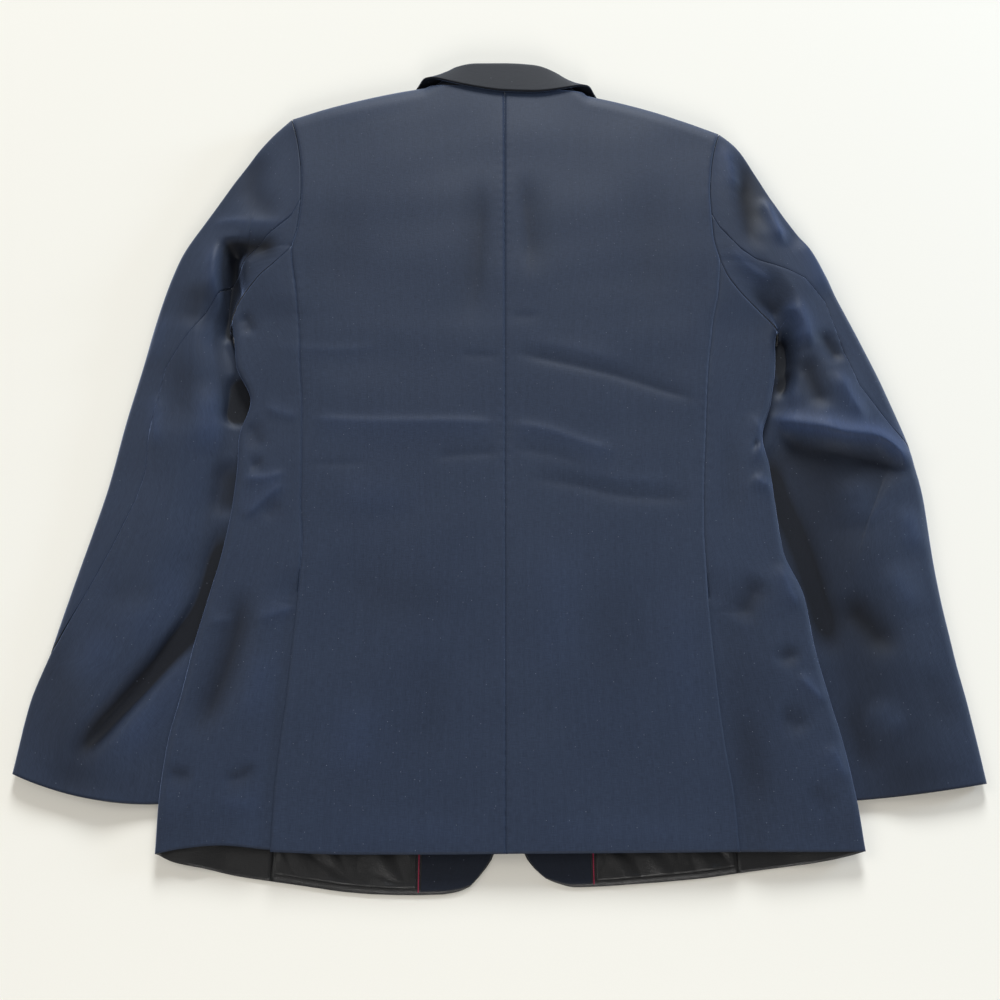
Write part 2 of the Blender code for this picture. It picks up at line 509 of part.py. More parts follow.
def sleeve_values(side, share):
    table = np.array(SLEEVE[side])
    stations = shares_of((table[:, 0:2] + table[:, 2:4]) / 2)
    return {name: smooth(stations, table[:, k], share) for k, name in enumerate(SLEEVE_COLUMNS)}


def sleeve_rim(side, across):
    """The armhole in plan, and the sleeve's edge, drawn off it by its gap and more at the underarm."""
    rim = np.array(UNDERARM[side] + ARMHOLE[side][1:]) * CM
    sign = -1 if side == "left" else 1
    way = along(rim, np.clip(across + RIM_STEP, 0, 1)) - along(rim, np.clip(across - RIM_STEP, 0, 1))
    way /= np.linalg.norm(way, axis=-1, keepdims=True)
    off = ARMHOLE_GAP + UNDERARM_GAP * np.clip(1 - across / UNDERARM_SHARE, 0, 1) ** 2
    hole = along(rim, across)
    return hole, hole + sign * np.stack([way[..., 1], -way[..., 0]], axis=-1) * off[..., None]


def sleeve_points(side, share, turn):
    """Points of the sleeve's middle surface. turn is 0 at the inner fold, 1 at the outer fold, 2 at the
    inner fold again, with the upper layer between 0 and 1."""
    row = sleeve_values(side, share)
    turn = np.mod(turn, 2.0)
    over = turn <= 1
    across = np.where(over, turn, 2 - turn)
    outer = np.stack([row["out_x"], row["out_y"]], axis=-1) * CM
    inner = np.stack([row["in_x"], row["in_y"]], axis=-1) * CM
    plan = inner + (outer - inner) * across[..., None]
    plan[..., 1] += row["bow"] * CM * 4 * across * (1 - across)
    width = np.linalg.norm(outer - inner, axis=-1)

    hole, edge = sleeve_rim(side, across)
    turned = 1 - np.clip(1 - share / SLEEVE_BLEND, 0, 1) ** 2
    plan = edge * (1 - turned)[..., None] + plan * turned[..., None]

    low, mid, out = row["in_top"] * CM, row["mid_top"] * CM, row["out_top"] * CM
    spread = np.clip((across - row["step"]) / (1 - row["step"]), 0, 1)
    top = low + (mid - low) * ease(spread / SLEEVE_RISE)
    top = top + (out - mid) * ease((spread - 1 + SLEEVE_FALL) / SLEEVE_FALL)
    top = top + relief(SLEEVE_FOLDS[side], plan[..., 0], plan[..., 1])
    top = np.maximum(top, LEAST_SLEEVE_Z)
    layer = np.where(over, top, WALL / 2)
    fold = (top + WALL / 2) / 2
    height = fold + (layer - fold) * rounded(np.minimum(across, 1 - across) * width, SLEEVE_REACH)
    hole_x, hole_y = hole[..., 0], hole[..., 1]
    at_hole = np.where(over, back_height(hole_x, hole_y), front_height(hole_x, hole_y))
    height = at_hole * (1 - turned) + height * turned
    return np.concatenate([plan, height[..., None]], axis=-1)


def spaced_by_bend(row, low, high, count):
    """Part of a row of points again, from one length along it to another, as count points spaced by length
    and turning, so that folds get more of them, with one close to each end."""
    step = np.diff(row, axis=0)
    length = np.linalg.norm(step, axis=1)
    unit = step / length[:, None]
    turning = np.arccos(np.clip((unit[1:] * unit[:-1]).sum(1), -1, 1))
    weight = length.copy()
    weight[1:] += BEND_LENGTH * turning / 2
    weight[:-1] += BEND_LENGTH * turning / 2
    run = np.concatenate([[0], np.cumsum(length)])
    weighed = np.concatenate([[0], np.cumsum(weight)])
    ends = np.interp([low + END_STEP, high - END_STEP], run, weighed)
    at = np.interp(np.linspace(*ends, count - 2), weighed, run)
    at = np.concatenate([[low], at, [high]])
    return np.stack([np.interp(at, run, row[:, k]) for k in range(3)], axis=1)


def elbow_turn(side, up):
    """Where the elbow seam crosses one section of the sleeve."""
    across = np.linspace(0, 1, 101)
    x, y = sleeve_points(side, np.full(across.shape, up), across)[:, :2].T
    line = np.array(ELBOW_SEAM[side][::-1]) * CM
    outside = (x - np.interp(y, line[:, 1], line[:, 0])) * (-1 if side == "left" else 1)
    if outside[-1] > 0:
        return np.interp(0, np.maximum.accumulate(outside), across)
    return 1 + min(-outside[-1] / math.hypot(x[-1] - x[0], y[-1] - y[0]), ELBOW_UNDER)


def make_sleeve(side, finish):
    """Top and under sleeve, cut apart at the elbow seam and at the forearm seam."""
    under, top = [], []
    for up in np.linspace(0, 1, SLEEVE_ROWS):
        elbow = elbow_turn(side, up)
        end = FOREARM_SEAM - FOREARM_SHIFT * max(1 - up / SLEEVE_BLEND, 0)
        turn = np.linspace(end - 2, end, SECTION_POINTS)
        row = sleeve_points(side, np.full(turn.shape, up), turn)
        run = np.concatenate([[0], np.cumsum(np.linalg.norm(np.diff(row, axis=0), axis=1))])
        cut = np.interp(elbow, turn, run)
        apart = SLEEVE_GAP + ELBOW_OPENING * math.exp(-(((elbow - 1) / ELBOW_TURN) ** 2))
        under.append(spaced_by_bend(row, SLEEVE_GAP / 2, cut - apart / 2, UNDER_SLEEVE_COLUMNS))
        top.append(spaced_by_bend(row, cut + apart / 2, run[-1] - SLEEVE_GAP / 2, TOP_SLEEVE_COLUMNS))
    cloth("under_sleeve_" + side, np.array(under), finish)
    cloth("top_sleeve_" + side, np.array(top), finish)


def make_collar(finish):
    table = np.array(COLLAR) * CM
    share = np.linspace(0, 1, COLLAR_ROWS)
    stations = shares_of(table[:, 3:6] + table[:, 6:9])
    line = {name: smooth(stations, table[:, k], share) for k, name in enumerate(COLLAR_COLUMNS)}
    neck, fold, leaf = (
        np.stack([line[f"{part}_{axis}"] for axis in "xyz"], axis=1) for part in ("neck", "fold", "leaf")
    )
    way = np.gradient(fold, axis=0)
    way /= np.linalg.norm(way, axis=1, keepdims=True)
    tip = fold - (neck + leaf) / 2
    tip -= (tip * way).sum(1, keepdims=True) * way
    tip /= np.linalg.norm(tip, axis=1, keepdims=True)
    across = leaf - neck
    for direction in (way, tip):
        across = across - (across * direction).sum(1, keepdims=True) * direction
    across /= np.linalg.norm(across, axis=1, keepdims=True)
    angles = np.linspace(-math.pi / 2, math.pi / 2, ROLL_STEPS)
    roll = [fold + ROLL_RADIUS * (math.sin(a) * across + math.cos(a) * tip) for a in angles]
    stand = [neck + (roll[0] - neck) * t for t in STAND_SHARES]
    turned = [roll[-1] + (leaf - roll[-1]) * t for t in LEAF_SHARES]
    cloth("collar", np.stack([*stand, *roll, *turned], axis=1), finish)


def make_lapel(side, finish):
    share = np.linspace(0, 1, LAPEL_ROWS)
    roll = along(np.array(LAPEL[side]["roll"]) * CM, share)
    edge = along(np.array(LAPEL[side]["edge"]) * CM, share)
    across = np.linspace(0, 1, LAPEL_COLUMNS)[None, :, None]
    plan = roll[:, None] * (1 - across) + edge[:, None] * across
    cloth("lapel_" + side, raised(plan, lambda x, y: np.full(x.shape, WALL / 2)), finish)


def on_front(side, across, up, lift):
    """Points on the inside of a front, at shares of its width and length, lifted off it."""
    plan = front_plan(side)
    u, v = shares_of(np.array(FRONT_HEM[side])), shares_of(plan[:, -1])
    rows = np.array([[np.interp(across, u, row[:, k]) for k in range(2)] for row in plan])
    at = np.array([[np.interp(up, v, rows[:, k, c]) for k in range(2)] for c in range(len(across))])
    points = raised(at.transpose(2, 0, 1), front_height)
    points[..., 2] += lift
    return points


def make_inside(side, suiting, satin, edging):
    """Facing and lining side by side on the front, with the piping between them."""
    width = abs(FRONT_HEM[side][-1][0] - FRONT_HEM[side][0][0]) * CM
    beside = (PIPING_RADIUS + PIPING_GAP) / width
    lift = WALL / 2 + SEAM_GAP + THIN_WALL / 2
    for name, finish, low, high in (
        ("facing", suiting, INSIDE_EDGES["facing"], FACING_SHARE - beside),
        ("lining", satin, FACING_SHARE + beside, INSIDE_EDGES["lining"]),
    ):
        up = np.linspace(INSIDE_HEM[name], INSIDE_TOP, INSIDE_STEPS)
        grid = on_front(side, np.linspace(low, high, INSIDE_STEPS), up, lift)
        cloth(f"{name}_{side}", grid, finish, THIN_WALL)
    up = np.linspace(INSIDE_HEM["piping"], INSIDE_TOP, INSIDE_STEPS)
    line = on_front(side, [FACING_SHARE], up, WALL / 2 + SEAM_GAP + PIPING_RADIUS)[:, 0]
    angles = np.arange(PIPING_SIDES) * 2 * math.pi / PIPING_SIDES + math.pi / PIPING_SIDES
    ring = np.stack([np.cos(angles), np.zeros(PIPING_SIDES), np.sin(angles)], axis=1) * PIPING_RADIUS
    points = (line[:, None] + ring[None]).reshape(-1, 3)
    faces = [
        (r * PIPING_SIDES + c, r * PIPING_SIDES + (c + 1) % PIPING_SIDES,
         (r + 1) * PIPING_SIDES + (c + 1) % PIPING_SIDES, (r + 1) * PIPING_SIDES + c)
        for r in range(len(line) - 1) for c in range(PIPING_SIDES)
    ]
    last = len(points) - PIPING_SIDES
    faces += [tuple(range(PIPING_SIDES))[::-1], tuple(range(last, last + PIPING_SIDES))]
    faces = [face[::-1] for face in faces]
    add_object("piping_" + side, points, faces, edging)


def make_button(name, up, finish):
    """A turned disc with a raised rim, face down under the front."""
    rings = [(r * BUTTON_RADIUS, z * BUTTON_THICK) for r, z in BUTTON_PROFILE]
    angles = np.arange(BUTTON_SIDES) * 2 * math.pi / BUTTON_SIDES
    points = [(BUTTON_X + r * math.cos(a), up + r * math.sin(a), z) for r, z in rings for a in angles]
    n = BUTTON_SIDES
    faces = [
        (k * n + c, k * n + (c + 1) % n, (k + 1) * n + (c + 1) % n, (k + 1) * n + c)
        for k in range(len(rings) - 1) for c in range(n)
    ]
    faces += [tuple(range(n))[::-1], tuple(range((len(rings) - 1) * n, len(rings) * n))]
    add_object(name, points, faces, finish)


def main():
    for old in list(bpy.data.objects):
        bpy.data.objects.remove(old)
    suiting = material("navy_suiting", SUITING)
    satin = material("black_satin", SATIN)
    edging = material("magenta_edging", EDGING)
    horn = material("navy_horn", HORN)
    for side in ("left", "right"):
        cloth("back_" + side, raised(back_plan(side), back_height), suiting)
        cloth("front_" + side, raised(front_plan(side), front_height), suiting)
        make_side_body(side, suiting)
        make_sleeve(side, suiting)
        make_lapel(side, suiting)
        make_inside(side, suiting, satin, edging)
    make_collar(suiting)
    for name, up in BUTTON_UP.items():
        make_button(name, up, horn)


main()
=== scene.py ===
# Navy suit jacket laid face down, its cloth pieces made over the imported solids.
# Metres, +Z up, hem towards -Y, wearer's left at -X.
# Tables are in cm, with y counted up from the back hem's middle.
import math
import bpy
import numpy as np
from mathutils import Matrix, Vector


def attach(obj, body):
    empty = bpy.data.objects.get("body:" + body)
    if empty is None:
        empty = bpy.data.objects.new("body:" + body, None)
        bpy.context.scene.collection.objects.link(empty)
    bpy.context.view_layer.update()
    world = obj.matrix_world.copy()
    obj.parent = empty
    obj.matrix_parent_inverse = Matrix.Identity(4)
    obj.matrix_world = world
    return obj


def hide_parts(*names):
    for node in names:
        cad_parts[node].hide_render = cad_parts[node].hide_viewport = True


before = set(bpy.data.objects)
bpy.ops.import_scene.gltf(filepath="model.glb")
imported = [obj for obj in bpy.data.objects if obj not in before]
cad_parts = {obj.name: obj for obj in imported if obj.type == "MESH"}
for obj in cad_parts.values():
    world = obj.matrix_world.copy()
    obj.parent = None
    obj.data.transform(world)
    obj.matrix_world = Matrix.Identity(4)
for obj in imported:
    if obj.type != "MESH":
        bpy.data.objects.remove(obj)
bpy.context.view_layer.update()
scene = bpy.context.scene
print("frame loaded with", len(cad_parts), "solids")

cm = 0.01
place = {"x": 0.001, "y": -0.3731}  # where the back hem's middle lies in the frame
view = {"at": (0.001, -0.3943, 0.90), "tilt": 20.0, "lens": 37.8, "sensor": 36.0}
photo = {"width": 1000, "hem": (500, 854), "hemZ": 1.4}  # in pixels, with the back hem's middle and its height
cloth = {"wall": 0.0018, "thinWall": 0.0010, "seamGap": 0.0003, "upperLayer": 0.4}
foldLine = {"samples": 21, "reach": 3.2}  # points on a fold's line, and how many widths off it still count
puckerWave = {"sway": 1.7, "swayRate": 0.31, "otherSide": 1.9, "least": 0.55, "swing": 0.45, "swingRate": 0.23,
              "swingShift": 2.1, "reach": 3}
ripples = {"count": 14, "shortest": 0.6, "longest": 1.8, "phases": 6.3, "calm": 5}


def evenly(count):
    # shares from 0 to 1 in equal steps
    return np.linspace(0, 1, count)


def rayMeets(points, height):
    # where the camera's rays through pixels of the photo meet a height, in cm from below the camera
    focal, tilt = photo["width"] * view["lens"] / view["sensor"], math.radians(view["tilt"])
    x, y = np.array(points, float).T - photo["width"] / 2
    reach = (view["at"][2] / cm - height) / (focal * math.cos(tilt) + y * math.sin(tilt))
    return np.stack([x * reach, (focal * math.sin(tilt) - y * math.cos(tilt)) * reach], axis=-1)


def photoFolds(strength, rows):
    # folds placed on the photo: each path in pixels and the cloth's height there, made a path from the
    # back hem's middle, to 1 mm, and each rise times the strength
    hemY = rayMeets([photo["hem"]], photo["hemZ"])[0, 1]
    return [
        (np.round(rayMeets(path, height) - [0, hemY], 1), left, right, round(rise * strength, 2), power, fade)
        for path, height, left, right, rise, power, fade in rows]


def easeIn(t):
    # cubic from 0 to 1 that is level at both ends
    t = np.clip(t, 0, 1)
    return t * t * (3 - 2 * t)


def roundShare(distance, reach):
    # quarter of an ellipse: 0 at the fold, 1 from reach inwards
    q = np.clip(distance / reach, 0, 1)
    return np.sqrt(np.clip(1 - (1 - q) ** 2, 0, 1))


def curveAt(stations, values, at):
    # cubic through a table's values, whose slope at each is the harmonic mean of the slopes beside it, so that
    # it never overshoots
    step = np.diff(stations)
    rise = np.diff(values) / step
    turning = rise[:-1] * rise[1:]
    slope = np.zeros(len(values))
    slope[0], slope[-1] = rise[0], rise[-1]
    slope[1:-1] = np.where(turning > 0, 2 * turning / np.where(turning > 0, rise[:-1] + rise[1:], 1.0), 0.0)
    at = np.clip(at, stations[0], stations[-1])
    i = np.clip(np.searchsorted(stations, at, side="right") - 1, 0, len(stations) - 2)
    t = (at - stations[i]) / step[i]
    return ((1 + 2 * t) * (1 - t) ** 2 * values[i] + t * (1 - t) ** 2 * step[i] * slope[i]
            + t * t * (3 - 2 * t) * values[i + 1] + t * t * (t - 1) * step[i] * slope[i + 1])


def lengthShares(points):
    # distance run along a line of points, over its whole length
    run = np.concatenate([[0], np.cumsum(np.linalg.norm(np.diff(points, axis=0), axis=1))])
    return run / run[-1]


def alongLine(points, share):
    # each coordinate is that cubic, of the share of the line's length
    points = np.asarray(points, float)
    stations = lengthShares(points)
    return np.stack([curveAt(stations, points[:, k], share) for k in range(points.shape[1])], axis=-1)


def nearLine(line, x, y):
    # for each point the distance to the nearest stretch of a line, its side (+ on the left) and its share of
    # the line
    start, step = line[:-1], np.diff(line, axis=0)
    gapX, gapY = x[:, None] - start[:, 0], y[:, None] - start[:, 1]
    t = np.clip((gapX * step[:, 0] + gapY * step[:, 1]) / (step ** 2).sum(1), 0, 1)
    gapX, gapY = gapX - t * step[:, 0], gapY - t * step[:, 1]
    distance = np.hypot(gapX, gapY)
    k = distance.argmin(1)
    i = np.arange(len(k))
    side = step[k, 0] * gapY[i, k] - step[k, 1] * gapX[i, k]
    return distance[i, k], side, (k + t[i, k]) / len(step)


def foldHeight(folds, x, y):
    # sum over folds of rise * exp(-(distance / width) ** power), faded out at both ends of the fold's line. A
    # fold is its path, its width on the left and on the right, its rise, its power, and the share that fades
    # at an end
    total = np.zeros(x.shape)
    flatX, flatY, flat = x.ravel(), y.ravel(), total.ravel()
    for path, left, right, rise, power, fade in folds:
        line = alongLine(np.array(path) * cm, evenly(foldLine["samples"]))
        reach = foldLine["reach"] * max(left, right) * cm
        low, high = line.min(0) - reach, line.max(0) + reach
        near = (flatX > low[0]) & (flatX < high[0]) & (flatY > low[1]) & (flatY < high[1])
        if near.any():
            distance, side, share = nearLine(line, flatX[near], flatY[near])
            width = np.where(side > 0, left, right) * cm
            ends = easeIn(share / fade) * easeIn((1 - share) / fade)
            flat[near] += rise * cm * ends * np.exp(-(distance / width) ** power)
    return flat.reshape(x.shape)


def seamHeight(paths, x, y, look):
    # along each seam a valley, -depth * exp(-(distance / width) ** 2), and beside it puckers, waves along the
    # seam whose size comes and goes
    w = puckerWave
    total = np.zeros(x.size)
    flatX, flatY = x.ravel(), y.ravel()
    for k, path in enumerate(paths):
        line = np.asarray(path) * cm
        length = np.linalg.norm(np.diff(line, axis=0), axis=1).sum()
        reach = w["reach"] * look["puckerWidth"] * cm
        low, high = line.min(0) - reach, line.max(0) + reach
        near = (flatX > low[0]) & (flatX < high[0]) & (flatY > low[1]) & (flatY < high[1])
        if near.any():
            distance, side, share = nearLine(line, flatX[near], flatY[near])
            run = share * length / cm
            sway = w["sway"] * np.sin(run * w["swayRate"] + k) + np.where(side > 0, 0, w["otherSide"])
            wave = np.sin(run * 2 * math.pi / look["pitch"] + sway)
            wave = wave * (w["least"] + w["swing"] * np.sin(run * w["swingRate"] + w["swingShift"] * k))
            wave = wave * np.exp(-(distance / (look["puckerWidth"] * cm)) ** 2)
            total[near] += look["pucker"] * cm * wave
            total[near] -= look["depth"] * cm * np.exp(-(distance / (look["width"] * cm)) ** 2)
    return total.reshape(x.shape)


def unevenness(x, y, seed, length, depth):
    # sum of sine waves in all directions, their lengths spread about the given one
    picks = np.random.default_rng(seed)
    total = np.zeros(x.shape)
    angles = picks.uniform(0, math.pi, ripples["count"])
    stretches = picks.uniform(ripples["shortest"], ripples["longest"], ripples["count"])
    phases = picks.uniform(0, ripples["phases"], ripples["count"])
    for angle, stretch, phase in zip(angles, stretches, phases):
        wave = 2 * math.pi / (length * stretch * cm)
        total += stretch * np.sin((x * math.cos(angle) + y * math.sin(angle)) * wave + phase)
    return total * depth * cm / ripples["calm"]


body = {
    "columns": ("up", "edgeLeft", "edgeRight", "seamLeft", "seamRight", "crown", "edgeTop", "lift", "rampLeft",
                "rampRight"),
    "rows": (
        (-3.4, 27.9, 29.8, 18.5, 19.3, 1.35, 1.00, 0.40, 25.4, 26.2),
        (0.0, 27.7, 29.4, 18.4, 19.2, 1.40, 1.10, 0.50, 25.2, 25.8),
        (4.0, 27.7, 29.0, 18.4, 19.1, 1.50, 1.60, 0.85, 25.0, 25.4),
        (8.5, 27.5, 28.4, 18.2, 18.6, 1.60, 1.65, 0.88, 24.0, 24.4),
        (12.5, 26.8, 27.6, 17.9, 18.3, 1.70, 1.65, 0.88, 22.8, 23.2),
        (17.0, 26.1, 26.8, 17.7, 18.1, 1.75, 1.65, 0.88, 21.6, 22.2),
        (21.0, 25.3, 26.4, 17.5, 18.0, 1.80, 1.65, 0.88, 20.6, 21.3),
        (25.5, 24.4, 24.9, 17.4, 18.0, 1.85, 1.65, 0.88, 20.0, 20.8),
        (30.0, 23.9, 24.6, 17.8, 18.2, 1.90, 1.65, 0.88, 19.8, 20.6),
        (33.5, 23.8, 24.4, 17.95, 18.5, 1.95, 1.65, 0.88, 20.0, 20.8),
        (36.0, 23.9, 24.0, 18.1, 18.75, 2.00, 1.65, 0.88, 20.6, 21.4),
        (39.8, 23.1, 25.1, 18.3, 19.1, 2.10, 1.70, 0.90, 21.6, 22.6),
        (43.5, 24.7, 25.8, 18.7, 19.5, 2.20, 1.85, 1.05, 23.0, 24.0),
        (46.0, 25.1, 26.0, 18.9, 19.9, 2.30, 1.90, 1.10, 24.0, 25.0),
        (47.0, 25.3, 26.3, 19.0, 20.05, 2.33, 1.90, 1.10, 24.3, 25.3),
        (47.9, 25.5, 27.0, 19.1, 20.2, 2.35, 1.90, 1.10, 24.6, 25.6),
        (51.0, 28.6, 29.4, 19.5, 20.9, 2.50, 2.00, 1.10, 27.6, 28.6),
        (55.9, 31.5, 31.6, 20.2, 21.3, 2.70, 2.20, 1.10, 31.0, 31.0),
        (62.0, 31.5, 31.6, 19.6, 20.7, 2.90, 2.50, 1.10, 31.0, 31.0),
        (70.0, 31.5, 31.6, 20.6, 21.9, 2.95, 2.70, 1.10, 31.0, 31.0),
        (80.0, 31.5, 31.6, 21.0, 22.4, 2.80, 2.60, 1.10, 31.0, 31.0),
    ),
    "centreSeamX": 0.45, "foldReach": 0.7, "crownRun": 8.0, "rampRun": 3.2,
    "shoulderZ": 1.5, "shoulderGap": 0.09, "shoulderReach": 2.2,
    "lapelLift": 0.24, "lapelReach": 16.0, "lapelFrom": 37.0, "lapelRun": 4.0,
    "buttonLift": 0.36, "buttonOut": 7.5, "buttonLow": 21.0, "buttonHigh": 44.0,
    "ventTop": 21.0, "underlap": 3.0, "ventStep": 0.27, "ventRun": 3.0, "ventShare": 0.378, "ventEnd": 0.006,
    "seamBend": 0.02,
}
lines = {
    "underarm": {
        "left": ((-25.5, 47.9), (-25.05, 49.6), (-24.3, 51.0), (-23.1, 52.7), (-21.7, 54.1), (-20.2, 55.9)),
        "right": ((26.3, 47.0), (25.6, 48.0), (24.6, 49.1), (22.9, 51.0), (21.8, 52.7), (21.2, 54.4))},
    "armhole": {
        "left": ((-20.2, 55.9), (-19.75, 58.0), (-19.6, 61.0), (-19.75, 64.0), (-20.2, 67.2), (-21.3, 71.45)),
        "right": ((21.2, 54.4), (20.75, 57.0), (20.7, 61.0), (21.0, 64.4), (21.5, 67.0), (22.3, 69.6))},
    "neck": {
        "left": ((0.45, 74.75), (-2.6, 74.9), (-4.9, 75.0), (-6.6, 75.15), (-7.7, 75.5)),
        "right": ((0.45, 74.75), (3.6, 74.6), (6.0, 74.4), (7.8, 74.3), (9.0, 74.45))},
    "shoulder": {
        "left": ((-7.7, 75.5), (-10.6, 74.9), (-14.0, 74.0), (-17.7, 72.85), (-21.3, 71.45)),
        "right": ((9.0, 74.45), (12.0, 73.65), (15.4, 72.55), (19.0, 71.1), (22.3, 69.6))},
    "neckRun": ((-7.7, 75.5), (-6.4, 76.4), (-4.5, 78.4), (0.5, 80.0), (5.5, 78.0), (7.9, 75.6), (9.0, 74.45)),
    "backHem": {
        "left": ((0.45, 0.0), (-6.0, -0.05), (-12.0, -0.05), (-18.4, 0.15)),
        "right": ((0.45, 0.0), (8.0, 0.05), (14.0, 0.1), (19.2, 0.15))},
    "sideHem": {
        "left": ((-27.7, 0.0), (-25.6, 0.4), (-23.0, 0.65), (-20.6, 0.35), (-18.4, 0.15)),
        "right": ((29.4, 0.2), (24.0, 0.15), (19.2, 0.15))},
    "underHem": {
        "left": ((-27.7, 0.0), (-26.3, -0.6), (-23.8, -1.1), (-21.3, -1.65), (-18.5, -2.05)),
        "right": ((29.4, 0.2), (28.3, -0.1), (25.8, -0.6), (22.0, -1.1), (19.25, -1.45))},
    "frontHem": {
        "left": ((-2.4, -2.45), (-3.4, -2.85), (-4.8, -3.05), (-7.0, -3.1), (-9.6, -3.05), (-12.5, -2.85),
                 (-15.5, -2.45), (-18.5, -2.05)),
        "right": ((3.7, -1.85), (4.6, -2.2), (6.0, -2.5), (8.0, -2.45), (10.4, -2.3), (13.2, -2.1),
                  (16.1, -1.85), (19.25, -1.45))},
    "frontEdge": {
        "left": ((-2.4, -2.45), (-1.5, -1.5), (-0.5, 0.0), (0.15, 3.5), (0.35, 12.0), (0.4, 25.0),
                 (0.35, 38.5), (-2.9, 53.0), (-6.3, 67.4), (-7.3, 70.8), (-7.55, 73.4), (-7.7, 75.5)),
        "right": ((3.7, -1.85), (2.8, -1.1), (2.0, 0.0), (1.35, 3.5), (1.1, 12.0), (1.1, 25.0), (1.15, 38.5),
                  (4.4, 53.0), (7.8, 66.4), (8.7, 69.8), (8.9, 72.4), (9.0, 74.45))},
}
sides = ("left", "right")
bodyTable = np.array(body["rows"]) * cm
shoulderRun = np.concatenate([alongLine(np.array(run) * cm, evenly(80)) for run in (
    lines["shoulder"]["left"][::-1], lines["neckRun"], lines["shoulder"]["right"])])


def onLine(name, side, share):
    # points at shares of the length of one of the lines
    return alongLine(np.array(lines[name][side]) * cm, share)


def signOf(side):
    # -1 on the wearer's left, 1 on the right
    return -1 if side == "left" else 1


def bodyValue(name, up):
    # a column of the body's table at a height, by the same cubic
    return curveAt(bodyTable[:, 0], bodyTable[:, body["columns"].index(name)], up)


def sideValue(name, x, up):
    # the left column's value to the left of the centre seam, and the right column's beyond it
    return np.where(x < body["centreSeamX"] * cm, bodyValue(name + "Left", up), bodyValue(name + "Right", up))


def shoulderDistance(x, y):
    # how far below the shoulder line a point lies
    return np.interp(x, shoulderRun[:, 0], shoulderRun[:, 1]) - y


def seamRun(side):
    # points up the side-back seam, from the table
    up = np.linspace(0, lines["armhole"][side][0][1], 40)
    return np.stack([signOf(side) * bodyValue("seam" + side.title(), up * cm) / cm, up], axis=1)


